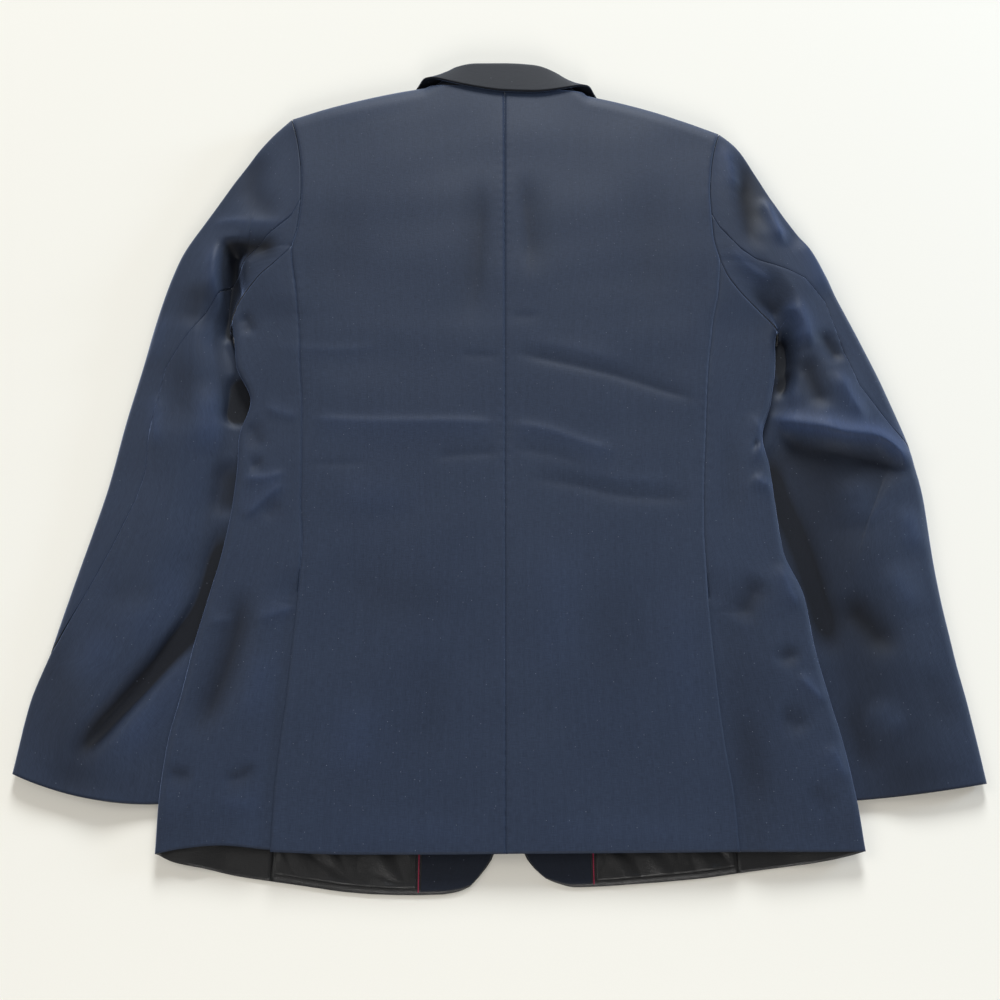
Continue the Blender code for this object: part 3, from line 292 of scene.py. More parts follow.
backLook = {
    "seams": {"depth": 0.045, "width": 0.13, "pucker": 0.012, "puckerWidth": 0.55, "pitch": 1.15},
    "uneven": {"seed": 4, "length": 6.5, "depth": 0.03},
    "folds": photoFolds(1.05, (
        (((262, 339), (301, 349), (345, 350), (390, 344)), 2.2, 0.5, 0.9, 0.07, 1.3, 0.35),
        (((455, 353), (480, 356), (504, 357)), 2.2, 0.35, 0.5, -0.05, 1.4, 0.35),
        (((304, 418), (380, 421), (450, 421), (503, 423)), 2, 0.35, 1.6, 0.13, 1.2, 0.15),
        (((430, 459), (470, 455), (504, 453)), 2, 0.8, 0.4, -0.08, 1.3, 0.25),
        (((303, 464), (340, 464), (372, 463)), 2, 0.4, 0.4, -0.05, 1.5, 0.3),
        (((320, 492), (370, 500), (430, 498)), 2, 1.8, 1.2, 0.06, 2, 0.4),
        (((478, 170), (480, 225), (476, 280), (468, 330)), 2.7, 0.9, 1.6, -0.2, 1.6, 0.35),
        (((522, 170), (528, 225), (531, 285)), 2.7, 1.5, 0.7, -0.2, 1.6, 0.35),
        (((505, 314), (525, 316), (545, 313)), 2.4, 0.4, 0.6, -0.05, 1.5, 0.4),
        (((506, 352), (560, 363), (621, 378), (668, 392), (706, 403)), 2.1, 0.9, 0.45, -0.13, 1.3, 0.2),
        (((512, 340), (570, 350), (640, 368)), 2.1, 0.9, 0.9, 0.06, 1.6, 0.35),
        (((506, 423), (545, 429), (583, 442), (620, 452)), 2, 0.45, 1.4, 0.12, 1.2, 0.2),
        (((508, 447), (550, 455), (590, 467)), 2, 1, 0.5, -0.07, 1.4, 0.3),
        (((519, 477), (570, 484), (628, 496), (704, 500)), 1.9, 1, 0.6, -0.1, 1.4, 0.25),
        (((560, 470), (620, 480), (690, 484)), 1.9, 0.8, 0.6, 0.05, 1.5, 0.35),
        (((330, 560), (400, 600), (470, 600)), 1.9, 2.6, 2.2, -0.1, 2, 0.4),
        (((345, 790), (352, 735), (365, 690)), 1.7, 2, 2, 0.1, 2, 0.4),
        (((420, 780), (430, 700), (420, 640)), 1.7, 2.2, 1.6, -0.08, 2, 0.4),
        (((600, 560), (610, 640), (600, 720)), 1.8, 2.6, 2.6, -0.09, 2, 0.4),
        (((545, 520), (560, 600), (555, 700)), 1.8, 2.2, 2.2, 0.08, 2, 0.4),
        (((672, 560), (680, 660), (700, 760)), 1.8, 1.6, 1.6, 0.06, 2, 0.4),
        (((320, 840), (420, 836), (505, 842)), 1.5, 1.2, 0.8, 0.05, 2, 0.3),
        (((520, 838), (620, 834), (730, 842)), 1.5, 1.2, 0.8, 0.05, 2, 0.3),
        (((330, 180), (340, 250), (335, 310)), 2.8, 2.5, 2.5, -0.08, 2, 0.4),
        (((640, 170), (650, 250), (645, 330)), 2.8, 2.5, 2.5, -0.08, 2, 0.4),
        (((310, 125), (400, 104), (440, 98)), 2.8, 1, 1, 0.06, 2, 0.4),
        (((240, 312), (249, 322), (253, 336)), 2, 0.5, 0.9, -0.22, 1.6, 0.35),
        (((262, 405), (280, 414), (301, 419)), 1.8, 0.7, 0.35, 0.12, 1.3, 0.3),
        (((246, 418), (256, 436), (262, 452)), 1.8, 0.7, 1, -0.16, 1.8, 0.4),
        (((238, 478), (262, 478), (288, 471)), 1.8, 0.35, 0.8, 0.2, 1.2, 0.3),
        (((247, 466), (266, 463)), 1.8, 0.6, 0.6, -0.16, 1.8, 0.4),
        (((241, 521), (262, 502), (286, 482)), 1.8, 0.9, 0.4, 0.2, 1.2, 0.3),
        (((262, 520), (280, 500)), 1.8, 0.8, 0.8, -0.1, 1.8, 0.4),
        (((205, 624), (222, 620), (236, 617)), 1.8, 0.7, 0.5, 0.12, 1.3, 0.35),
        (((250, 621), (272, 615), (299, 606)), 1.8, 0.8, 0.5, 0.14, 1.3, 0.3),
        (((243, 580), (238, 620), (229, 655), (212, 700), (188, 748)), 1.7, 1.1, 1.4, -0.42, 1.8, 0.3),
        (((262, 640), (254, 690), (235, 735)), 1.7, 1.4, 1.2, 0.12, 2, 0.4),
        (((220, 781), (238, 777), (257, 762)), 1.5, 0.5, 0.7, -0.24, 1.5, 0.4),
        (((164, 770), (180, 775), (196, 777)), 1.5, 0.6, 0.8, -0.2, 1.7, 0.4),
        (((210, 800), (240, 806), (265, 800)), 1.5, 0.8, 0.8, 0.08, 2, 0.4),
        (((748, 410), (764, 438), (749, 468)), 1.8, 0.6, 0.8, 0.24, 1.2, 0.35),
        (((752, 442), (760, 446)), 1.8, 0.5, 0.5, -0.18, 2, 0.4),
        (((752, 474), (766, 484), (775, 480)), 1.8, 0.7, 0.7, 0.22, 1.5, 0.35),
        (((764, 575), (750, 598), (738, 625)), 1.8, 1, 1.2, -0.3, 1.8, 0.35),
        (((779, 560), (788, 590), (800, 612)), 1.8, 0.6, 0.8, 0.24, 1.3, 0.35),
        (((778, 668), (790, 655), (803, 660)), 1.7, 0.7, 0.9, -0.26, 1.7, 0.4),
        (((796, 672), (812, 690), (826, 706)), 1.7, 0.6, 0.6, 0.22, 1.3, 0.35),
        (((775, 715), (795, 722), (808, 735)), 1.6, 1.2, 1, -0.22, 1.8, 0.4),
        (((826, 742), (836, 760), (846, 785)), 1.5, 0.6, 0.8, 0.18, 1.4, 0.35),
        (((800, 790), (820, 800), (836, 815)), 1.4, 1, 1, -0.12, 2, 0.4),
        (((740, 700), (752, 760), (760, 820)), 1.5, 1.2, 1.4, -0.12, 2, 0.4),
        (((722, 420), (730, 470), (728, 540)), 1.9, 1.2, 1.2, -0.1, 2, 0.4),
        (((742, 560), (748, 700), (756, 950)), 1.4, 2.6, 2.2, -0.11, 2, 0.3),
    )),
}
frontFolds = (
    (((-21.5, 41.0), (-16.0, 35.5), (-9.5, 31.5)), 0.9, 1.5, 0.16, 1.6, 0.35),
    (((-22.0, 30.0), (-17.0, 26.5), (-12.0, 24.5)), 0.8, 1.2, 0.12, 1.6, 0.35),
    (((-15.5, 33.0), (-14.0, 25.0), (-14.8, 17.0)), 1.6, 1.1, 0.13, 1.8, 0.4),
    (((20.5, 43.0), (17.5, 37.0), (12.0, 31.0)), 1.4, 0.9, 0.15, 1.6, 0.35),
    (((22.5, 28.0), (17.0, 25.5), (10.5, 25.0)), 1.0, 1.3, 0.13, 1.6, 0.35),
    (((15.0, 22.0), (14.0, 18.0), (14.6, 13.0)), 1.2, 1.6, 0.10, 1.8, 0.4),
)
sewnLines = [((body["centreSeamX"], -1.0), (body["centreSeamX"], 75.0))]
sewnLines += [seamRun(side)[15:] for side in sides]
sewnLines += [np.array(lines["underarm"][side] + lines["armhole"][side][1:]) for side in sides]


def edgeMiddle(up):
    # half way between the two layers at the side folds
    return (bodyValue("edgeTop", up) + bodyValue("lift", up) + cloth["wall"] / 2) / 2


def backHeight(x, y):
    # crown height inside, down to the edge's own near the side folds, with folds, seams and unevenness on it,
    # then rounded down over the side folds and over the shoulders
    b = body
    inside = sideValue("edge", x, y) - np.abs(x)
    climb = easeIn((inside - b["foldReach"] * cm) / (b["crownRun"] * cm))
    height = bodyValue("edgeTop", y) + (bodyValue("crown", y) - bodyValue("edgeTop", y)) * climb
    height = height + foldHeight(backLook["folds"], x, y) + seamHeight(sewnLines, x, y, backLook["seams"])
    height = height + unevenness(x, y, **backLook["uneven"])
    height = edgeMiddle(y) + (height - edgeMiddle(y)) * roundShare(inside, b["foldReach"] * cm)
    seam = (b["shoulderZ"] + b["shoulderGap"] / 2) * cm
    return seam + (height - seam) * roundShare(shoulderDistance(x, y), b["shoulderReach"] * cm)


def frontHeight(x, y):
    # on the floor, and up over the sleeves, the lapels and the buttons
    b = body
    out = np.abs(x)
    inside = sideValue("edge", x, y) - out
    ramp = easeIn((out - sideValue("ramp", x, y) + b["rampRun"] * cm) / (b["rampRun"] * cm))
    height = cloth["wall"] / 2 + bodyValue("lift", y) * ramp
    run = b["lapelRun"] * cm
    lapel = easeIn((b["lapelReach"] * cm + run - out) / run) * easeIn((y - b["lapelFrom"] * cm + run) / run)
    strip = easeIn((b["buttonOut"] * cm - x) / run) * easeIn((b["buttonHigh"] * cm - y) / run)
    strip = strip * easeIn((y - b["buttonLow"] * cm) / run)
    strip = np.where(x > b["centreSeamX"] * cm, strip * b["buttonLift"] * cm, 0.0)
    height = height + np.maximum(lapel * b["lapelLift"] * cm, strip) + foldHeight(frontFolds, x, y)
    height = edgeMiddle(y) + (height - edgeMiddle(y)) * roundShare(inside, b["foldReach"] * cm)
    seam = (b["shoulderZ"] - b["shoulderGap"] / 2) * cm
    return seam + (height - seam) * roundShare(shoulderDistance(x, y), b["shoulderReach"] * cm)


def patchPlan(inner, outer, lower, upper):
    # Coons patch: the two blends between opposite edges, less the blend of the four corners
    v = (lengthShares(inner) + lengthShares(outer))[:, None, None] / 2
    u = (lengthShares(lower) + lengthShares(upper))[None, :, None] / 2
    corners = ((1 - u) * (1 - v) * lower[0] + u * (1 - v) * lower[-1]
               + (1 - u) * v * upper[0] + u * v * upper[-1])
    return (1 - u) * inner[:, None] + u * outer[:, None] + (1 - v) * lower[None] + v * upper[None] - corners


def raised(plan, heightAt, lift=0.0):
    # the points of a plan, each with the height there and the lift
    return np.concatenate([plan, heightAt(plan[..., 0], plan[..., 1])[..., None] + lift], axis=-1)


def sideSeam(side, hemY, share):
    # points up a side seam at shares of the height from the hem to the armhole
    top = np.array(lines["armhole"][side][0]) * cm
    y = hemY * cm + (top[1] - hemY * cm) * share
    x = signOf(side) * bodyValue("seam" + side.title(), y)
    bend = body["seamBend"]
    return np.stack([x + (top[0] - x) * easeIn((share - (1 - bend)) / bend), y], axis=1)


def panelOuter(side, hemY, grid):
    # up the side seam, then on up the armhole
    hole = onLine("armhole", side, evenly(grid["armholeRows"] + 1)[1:])
    line = np.concatenate([sideSeam(side, hemY, evenly(grid["seamRows"])), hole])
    line[:grid["seamRows"], 0] -= signOf(side) * cloth["seamGap"] / 2
    return line


def clothPiece(name, grid, finishes, facing, wall=cloth["wall"], folds=(), level=0.0):
    # quads on a grid of points, with half the wall to each side, faces turned to the garment's outer side, and
    # a map of the cloth in metres: run across each row, run up each column. A point attribute holds how far,
    # in cm, the folds lift each point of the upper layer, plus the level, and the wool turns it into painted
    # shade: darker in hollows, lighter and bluish on ridges. Its area is the sum of each quad's two triangles,
    # half the length of the cross product of two sides for each
    rows, columns = grid.shape[:2]
    points = grid.reshape(-1, 3) + np.array([place["x"], place["y"], 0.0])
    i = (np.arange(rows - 1)[:, None] * columns + np.arange(columns - 1)).ravel()
    faces = np.stack([i, i + 1, i + columns + 1, i + columns], axis=1)
    middle = grid[rows // 2]
    across, upward = np.diff(middle, axis=0), grid[rows // 2 + 1, :-1] - middle[:-1]
    normal = np.cross(across, upward)
    if facing == "out":
        turned = (normal * (middle[:-1] - middle.mean(0))).sum() < 0
    else:
        turned = normal[:, 2].sum() * (1 if facing == "up" else -1) < 0
    if turned:
        faces = faces[:, ::-1]
    title = name.split("_")[0] + "".join(word.title() for word in name.split("_")[1:])
    mesh = bpy.data.meshes.new(title)
    mesh.vertices.add(len(points))
    mesh.vertices.foreach_set("co", points.astype(np.float32).ravel())
    mesh.loops.add(faces.size)
    mesh.loops.foreach_set("vertex_index", faces.astype(np.int32).ravel())
    mesh.polygons.add(len(faces))
    mesh.polygons.foreach_set("loop_start", np.arange(0, faces.size, 4, dtype=np.int32))
    mesh.update(calc_edges=True)
    mesh.shade_smooth()
    runAcross = np.cumsum(np.linalg.norm(np.diff(grid, axis=1, prepend=grid[:, :1]), axis=2), axis=1)
    runUp = np.cumsum(np.linalg.norm(np.diff(grid, axis=0, prepend=grid[:1]), axis=2), axis=0)
    grain = np.stack([runAcross - runAcross[:, columns // 2][:, None], runUp], axis=-1).reshape(-1, 2)
    mesh.uv_layers.new(name="grain").data.foreach_set("uv", grain[faces.ravel()].astype(np.float32).ravel())
    # painted shade: the folds' heights again, used only for the wool's colour, darker in hollows, lighter on
    # ridges
    paintedShadeRelief = foldHeight(folds, grid[..., 0], grid[..., 1]) / cm
    paintedShadeRelief = paintedShadeRelief * easeIn(grid[..., 2] / (cloth["upperLayer"] * cm)) + level
    paintedShadeAttribute = mesh.attributes.new("paintedShadeRelief", "FLOAT", "POINT")
    paintedShadeAttribute.data.foreach_set("value", paintedShadeRelief.astype(np.float32).ravel())
    piece = bpy.data.objects.new(title, mesh)
    scene.collection.objects.link(piece)
    for finish in finishes:
        mesh.materials.append(finish)
    thick = piece.modifiers.new("wall", "SOLIDIFY")
    thick.thickness, thick.offset = wall, 0.0
    thick.material_offset = thick.material_offset_rim = len(finishes) - 1
    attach(piece, "root")
    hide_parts(name)
    side1, side2 = grid[1:, :-1] - grid[:-1, :-1], grid[:-1, 1:] - grid[:-1, :-1]
    side3, side4 = grid[1:, :-1] - grid[1:, 1:], grid[:-1, 1:] - grid[1:, 1:]
    area = np.linalg.norm(np.cross(side1, side2), axis=2) + np.linalg.norm(np.cross(side3, side4), axis=2)
    area = area.sum() / 2


backGrid = {"seamRows": 230, "armholeRows": 66, "neckColumns": 28, "shoulderColumns": 56}


def backPlan(side):
    # a patch from the centre seam to the side seam and armhole, and from the hem to the neck and shoulder
    outer = panelOuter(side, lines["backHem"][side][-1][1], backGrid)
    neck = onLine("neck", side, evenly(backGrid["neckColumns"]))
    shoulder = onLine("shoulder", side, evenly(backGrid["shoulderColumns"]))
    upper = np.concatenate([neck, shoulder[1:]])
    lower = onLine("backHem", side, evenly(len(upper)))
    lower[-1] = outer[0]
    lower[0, 0] += signOf(side) * cloth["seamGap"] / 2
    upper[0, 0] += signOf(side) * cloth["seamGap"] / 2
    inner = lower[0] + (upper[0] - lower[0]) * lengthShares(outer)[:, None]
    return patchPlan(inner, outer, lower, upper)


frontGrid = {"seamRows": 120, "armholeRows": 36, "columns": 56}


def frontPlan(side):
    # a patch from the front edge to the side seam and armhole, and from the hem to the shoulder
    outer = panelOuter(side, lines["frontHem"][side][-1][1], frontGrid)
    share = evenly(frontGrid["columns"])
    lower = onLine("frontHem", side, share)
    lower[-1] = outer[0]
    upper = onLine("shoulder", side, share)
    inner = onLine("frontEdge", side, lengthShares(outer))
    return patchPlan(inner, outer, lower, upper)


sideGrid = {
    "rows": 230, "columns": 52, "foldPace": 0.3, "hemHold": 6, "armholeHold": 3,
    "underlap": ((0, 0), (0.22, 0), (0.36, 0.05), (0.51, 0.2), (0.67, 0.45), (0.84, 0.7), (1, 1)),
}


def halfSideBody(side, hem):
    # straight across from the side fold to the side seam, bent near its ends to the hem and to the armhole
    share = evenly(sideGrid["columns"])
    across = share * (sideGrid["foldPace"] + (1 - sideGrid["foldPace"]) * share)
    up = evenly(sideGrid["rows"])
    hem = alongLine(np.array(hem) * cm, across)
    armhole = onLine("underarm", side, across)
    seam = sideSeam(side, hem[-1, 1] / cm, up)
    seam[:, 0] += signOf(side) * cloth["seamGap"] / 2
    y = hem[0, 1] + (armhole[0, 1] - hem[0, 1]) * up
    fold = np.stack([signOf(side) * bodyValue("edge" + side.title(), y), y], axis=1)
    plan = fold[:, None] + (seam - fold)[:, None] * across[:, None]
    hemWeight, armholeWeight = (1 - up) ** sideGrid["hemHold"], up ** sideGrid["armholeHold"]
    for end, curve, weight in ((0, hem, hemWeight), (-1, armhole, armholeWeight)):
        curve[0], curve[-1] = fold[end], seam[end]
        plan = plan + weight[:, None, None] * (curve - fold[end] - (seam[end] - fold[end]) * across[:, None])
    return plan, across, up


def sideBodyGrid(side):
    # from the back seam over the side fold and under to the front seam, with the vent's underlap a step lower
    above, across, up = halfSideBody(side, lines["sideHem"][side])
    shift = np.interp(across, *np.array(sideGrid["underlap"]).T)
    opened = 1 - easeIn((up - body["ventShare"]) / body["ventEnd"] + 0.5)
    above[..., 0] -= signOf(side) * body["underlap"] * cm * opened[:, None] * shift
    x, y = above[..., 0], above[..., 1]
    run = body["ventRun"] * cm
    sink = easeIn((bodyValue("seam" + side.title(), y) + run - np.abs(x)) / run)
    sink = sink * easeIn(1 + (body["ventTop"] * cm - y) / run)
    above = raised(above, backHeight)
    above[..., 2] -= body["ventStep"] * cm * sink
    below = raised(halfSideBody(side, lines["underHem"][side])[0], frontHeight)
    return np.concatenate([above[:, :0:-1], below], axis=1)


sleeve = {
    "columns": ("outX", "outY", "inX", "inY", "bow", "step", "inTop", "midTop", "outTop"),
    "left": (
        (-21.3, 71.45, -25.5, 47.9, 0.0, 0.10, 1.70, 2.6, 2.4),
        (-24.6, 67.7, -25.9, 47.5, 0.0, 0.10, 1.50, 2.8, 2.3),
        (-28.4, 60.6, -25.8, 46.9, 0.0, 0.10, 1.20, 2.8, 2.1),
        (-31.2, 55.1, -25.6, 46.2, 0.0, 0.11, 0.90, 2.5, 2.0),
        (-32.6, 49.7, -25.0, 45.0, 0.0, 0.12, 0.75, 2.3, 1.9),
        (-33.4, 44.8, -23.5, 42.9, 0.0, 0.14, 0.66, 2.2, 1.7),
        (-33.9, 42.0, -22.6, 39.8, 0.0, 0.16, 0.63, 2.1, 1.6),
        (-34.5, 38.3, -21.1, 36.0, -0.1, 0.24, 0.62, 2.0, 1.5),
        (-35.5, 31.1, -20.3, 29.0, -0.2, 0.30, 0.62, 1.8, 1.4),
        (-36.9, 24.3, -21.0, 22.3, -0.3, 0.30, 0.62, 1.7, 1.3),
        (-38.4, 17.0, -22.6, 15.5, -0.4, 0.28, 0.62, 1.6, 1.25),
        (-39.7, 12.0, -24.2, 9.8, -0.7, 0.24, 0.62, 1.4, 1.15),
        (-40.3, 6.3, -25.8, 4.1, -1.0, 0.18, 0.62, 1.25, 1.0),
    ),
    "right": (
        (22.3, 69.6, 26.3, 47.0, 0.0, 0.10, 1.70, 2.6, 2.4),
        (25.0, 67.0, 26.6, 46.6, 0.0, 0.10, 1.50, 2.9, 2.4),
        (27.6, 60.6, 26.5, 46.0, 0.0, 0.10, 1.20, 2.9, 2.3),
        (30.8, 54.9, 26.1, 45.3, 0.0, 0.11, 0.95, 2.8, 2.2),
        (32.7, 49.8, 25.3, 44.1, 0.0, 0.12, 0.75, 2.7, 2.1),
        (34.3, 45.5, 24.1, 41.8, 0.0, 0.14, 0.66, 2.7, 2.0),
        (35.8, 41.0, 23.4, 38.2, 0.0, 0.16, 0.62, 2.6, 1.9),
        (37.4, 35.6, 21.7, 33.3, 0.0, 0.24, 0.62, 1.9, 1.5),
        (38.2, 29.9, 21.4, 28.0, 0.0, 0.26, 0.62, 1.6, 1.3),
        (38.3, 24.0, 22.0, 22.0, -0.1, 0.28, 0.62, 1.55, 1.2),
        (38.9, 16.5, 23.4, 14.8, -0.1, 0.28, 0.62, 1.5, 1.15),
        (39.5, 11.5, 24.9, 9.2, -0.2, 0.26, 0.62, 1.4, 1.1),
        (40.1, 5.5, 26.4, 4.0, -0.2, 0.22, 0.62, 1.2, 1.0),
    ),
    "elbowSeam": {
        "left": ((-19.6, 61.2), (-20.5, 59.2), (-22.6, 57.2), (-25.0, 54.4), (-26.8, 51.4), (-28.1, 48.8),
                 (-30.0, 45.5), (-31.3, 43.0), (-32.1, 36.0), (-32.0, 33.0), (-32.6, 30.1), (-33.9, 26.5),
                 (-36.2, 21.0), (-37.8, 17.5), (-41.0, 12.0), (-43.0, 5.0)),
        "right": ((20.7, 59.5), (21.4, 58.0), (23.4, 55.4), (24.8, 54.3), (27.5, 53.2), (29.2, 52.3),
                  (31.0, 49.9), (32.1, 45.0), (33.2, 41.1), (35.6, 37.6), (37.5, 34.8), (39.6, 31.0),
                  (42.0, 5.0)),
    },
    "reach": 0.8, "blend": 0.14, "rise": 0.45, "fall": 0.5, "leastZ": 0.45,
    "armholeGap": 0.05, "underarmGap": 0.06, "underarmShare": 0.3, "seamGap": 0.04,
    "forearmSeam": 1.88, "forearmShift": 0.06, "elbowOpening": 0.18, "elbowTurn": 0.05, "elbowUnder": 0.07,
    "calmShare": 0.2, "softZ": 0.15, "sinkZ": 0.03, "rimStep": 0.02,
    "rows": 230, "underColumns": 96, "topColumns": 96, "bendLength": 1.0,
    "roundSamples": 361, "acrossSamples": 121,
    "seams": {"depth": 0.04, "width": 0.13, "pucker": 0.014, "puckerWidth": 0.5, "pitch": 1.0},
    "uneven": {"seed": 9, "length": 5.0, "depth": 0.05},
    "lower": {"seed": 31, "length": 7.0, "depth": 0.05},
    "folds": {
        "left": photoFolds(1.38, (
            (((30, 610), (56, 690), (84, 830)), 0.8, 2.6, 3.4, -0.16, 2, 0.3),
            (((262, 150), (252, 185), (256, 210)), 2.4, 1.3, 1.5, -0.2, 2, 0.35),
            (((296, 222), (262, 225), (226, 223), (204, 228)), 2.4, 0.6, 0.5, 0.14, 1.6, 0.35),
            (((239, 342), (235, 304), (235, 270), (240, 245)), 1.2, 1.05, 0.95, -1.5, 2.2, 0.14),
            (((234, 262), (246, 253), (264, 250), (284, 254)), 1.8, 0.85, 1.1, -0.5, 1.8, 0.35),
            (((231, 330), (222, 305), (216, 280), (217, 256), (226, 240)), 2.2, 0.9, 0.9, 0.3, 1.6, 0.3),
            (((246, 196), (262, 208), (284, 214)), 2.4, 1.4, 1.2, -0.15, 2, 0.4),
            (((238, 180), (226, 200), (214, 222)), 2.4, 0.9, 0.9, -0.06, 2, 0.4),
            (((203, 284), (196, 310), (188, 334)), 1.8, 1.6, 1.6, -0.2, 2, 0.4),
            (((237, 372), (240, 390), (236, 412), (231, 430)), 0.8, 1.2, 1, -1, 2, 0.3),
            (((229, 455), (229, 490), (227, 520)), 1, 0.9, 1.3, -0.35, 2, 0.35),
            (((157, 392), (156, 425), (157, 455)), 1.4, 0.8, 0.8, 0.16, 1.6, 0.35),
            (((226, 518), (214, 576), (198, 616), (164, 658), (126, 702), (70, 765)),
             0.8, 0.95, 0.9, -0.8, 2.2, 0.18),
            (((220, 540), (204, 598), (180, 632), (150, 664)), 0.8, 1.2, 0.6, -0.3, 2, 0.3),
            (((206, 640), (170, 690), (140, 730), (112, 770)), 1, 1.8, 1.6, 0.12, 2, 0.3),
            (((190, 560), (150, 610), (110, 660)), 1.2, 2.2, 2.2, 0.07, 2, 0.35),
            (((96, 590), (128, 596), (170, 590)), 1.2, 1.4, 1.4, -0.08, 2, 0.4),
            (((60, 690), (90, 660), (120, 630)), 1, 1.8, 1.8, 0.12, 2, 0.4),
            (((40, 770), (90, 786), (150, 792)), 0.8, 1.4, 1.4, -0.08, 2, 0.3),
            (((176, 350), (186, 400), (190, 440)), 1.4, 1.6, 1.6, -0.14, 2, 0.4),
            (((205, 380), (208, 420), (210, 460)), 1.2, 1.4, 1.4, 0.2, 2, 0.4),
            (((170, 312), (160, 340), (152, 372)), 1.4, 0.8, 0.8, 0.1, 2, 0.4),
        )),
        "right": photoFolds(1.4, (
            (((796, 450), (838, 560), (880, 690), (930, 880)), 1.3, 4.5, 4.8, -0.2, 2.4, 0.2),
            (((736, 150), (748, 185), (762, 240)), 2.4, 1.3, 1.2, -0.3, 2, 0.3),
            (((719, 142), (728, 165), (735, 195)), 2.6, 0.8, 0.9, 0.3, 1.5, 0.3),
            (((739, 168), (741, 200), (748, 235), (765, 258)), 2.2, 1, 1, -0.3, 2, 0.3),
            (((721, 161), (728, 158), (735, 157)), 2.6, 0.22, 0.22, 0.1, 1.5, 0.4),
            (((722, 173), (730, 170), (737, 170)), 2.6, 0.22, 0.22, 0.1, 1.5, 0.4),
            (((725, 186), (733, 182), (741, 183)), 2.6, 0.22, 0.22, 0.09, 1.5, 0.4),
            (((724, 198), (731, 195), (738, 197)), 2.6, 0.22, 0.22, 0.08, 1.5, 0.4),
            (((762, 196), (771, 220), (784, 250)), 2.4, 0.7, 0.7, 0.42, 1.5, 0.3),
            (((796, 236), (812, 266), (830, 300)), 2, 1, 1.2, 0.28, 1.7, 0.3),
            (((726, 246), (748, 268), (776, 286)), 2.4, 0.9, 0.8, 0.22, 1.5, 0.3),
            (((745, 290), (766, 304), (790, 312)), 2.2, 0.8, 0.8, -0.22, 2, 0.35),
            (((776, 306), (794, 312), (803, 330), (804, 352)), 2.4, 0.9, 1, 0.4, 1.5, 0.3),
            (((816, 330), (826, 345), (842, 366)), 2.2, 0.8, 0.9, -0.3, 2, 0.35),
            (((778, 328), (784, 352), (786, 378), (779, 402)), 1, 0.7, 1, -0.85, 2, 0.3),
            (((775, 380), (784, 372), (797, 360)), 2, 0.7, 0.6, 0.22, 1.6, 0.35),
            (((802, 352), (814, 382), (828, 412)), 2.4, 0.9, 0.9, -0.3, 2, 0.3),
            (((800, 362), (796, 386), (798, 408)), 2.4, 0.6, 0.6, 0.18, 1.6, 0.35),
            (((832, 368), (848, 398), (868, 424)), 2.2, 1, 1, 0.3, 1.5, 0.35),
            (((772, 406), (796, 419), (822, 428), (848, 434), (878, 436), (902, 450), (914, 468)),
             2.6, 1.3, 0.6, 0.7, 1.4, 0.18),
            (((778, 424), (810, 445), (848, 455), (886, 462), (912, 476)), 1.8, 0.9, 4.2, -0.34, 1.5, 0.2),
            (((765, 444), (778, 490), (802, 545), (820, 600), (836, 660)), 1, 1, 1.2, -0.5, 2, 0.2),
            (((846, 470), (858, 500), (862, 530)), 1.6, 1.6, 1.6, 0.16, 2, 0.4),
            (((900, 500), (912, 530), (918, 560)), 1.4, 1, 1.2, 0.16, 2, 0.4),
            (((840, 590), (870, 625), (898, 660)), 1.3, 1.3, 1.5, -0.26, 2, 0.35),
            (((880, 560), (900, 590), (916, 620)), 1.3, 1.4, 1.4, 0.14, 2, 0.4),
            (((866, 700), (886, 720), (908, 738)), 1.2, 1.4, 1.4, 0.18, 2, 0.4),
            (((920, 660), (938, 700), (952, 740)), 1.1, 1.4, 1.4, -0.1, 2, 0.4),
            (((880, 780), (930, 778), (976, 770)), 1, 1.4, 1.4, -0.06, 2, 0.3),
            (((848, 690), (862, 740), (872, 780)), 1, 1, 1, -0.14, 2, 0.35),
        ))},
}


def sleeveValues(side, share):
    # the columns of the sleeve's table at shares of the length of its middle line
    table = np.array(sleeve[side])
    stations = lengthShares((table[:, 0:2] + table[:, 2:4]) / 2)
    return {name: curveAt(stations, table[:, k], share) for k, name in enumerate(sleeve["columns"])}


def sleeveRim(side, across):
    # the armhole in plan, and the sleeve's edge drawn off it by its gap, more at the underarm
    rim, step = np.array(lines["underarm"][side] + lines["armhole"][side][1:]) * cm, sleeve["rimStep"]
    way = alongLine(rim, np.clip(across + step, 0, 1)) - alongLine(rim, np.clip(across - step, 0, 1))
    way /= np.linalg.norm(way, axis=-1, keepdims=True)
    underarm = np.clip(1 - across / sleeve["underarmShare"], 0, 1)
    off = sleeve["armholeGap"] + sleeve["underarmGap"] * underarm ** 2
    hole = alongLine(rim, across)
    return hole, hole + signOf(side) * np.stack([way[..., 1], -way[..., 0]], axis=-1) * off[..., None] * cm


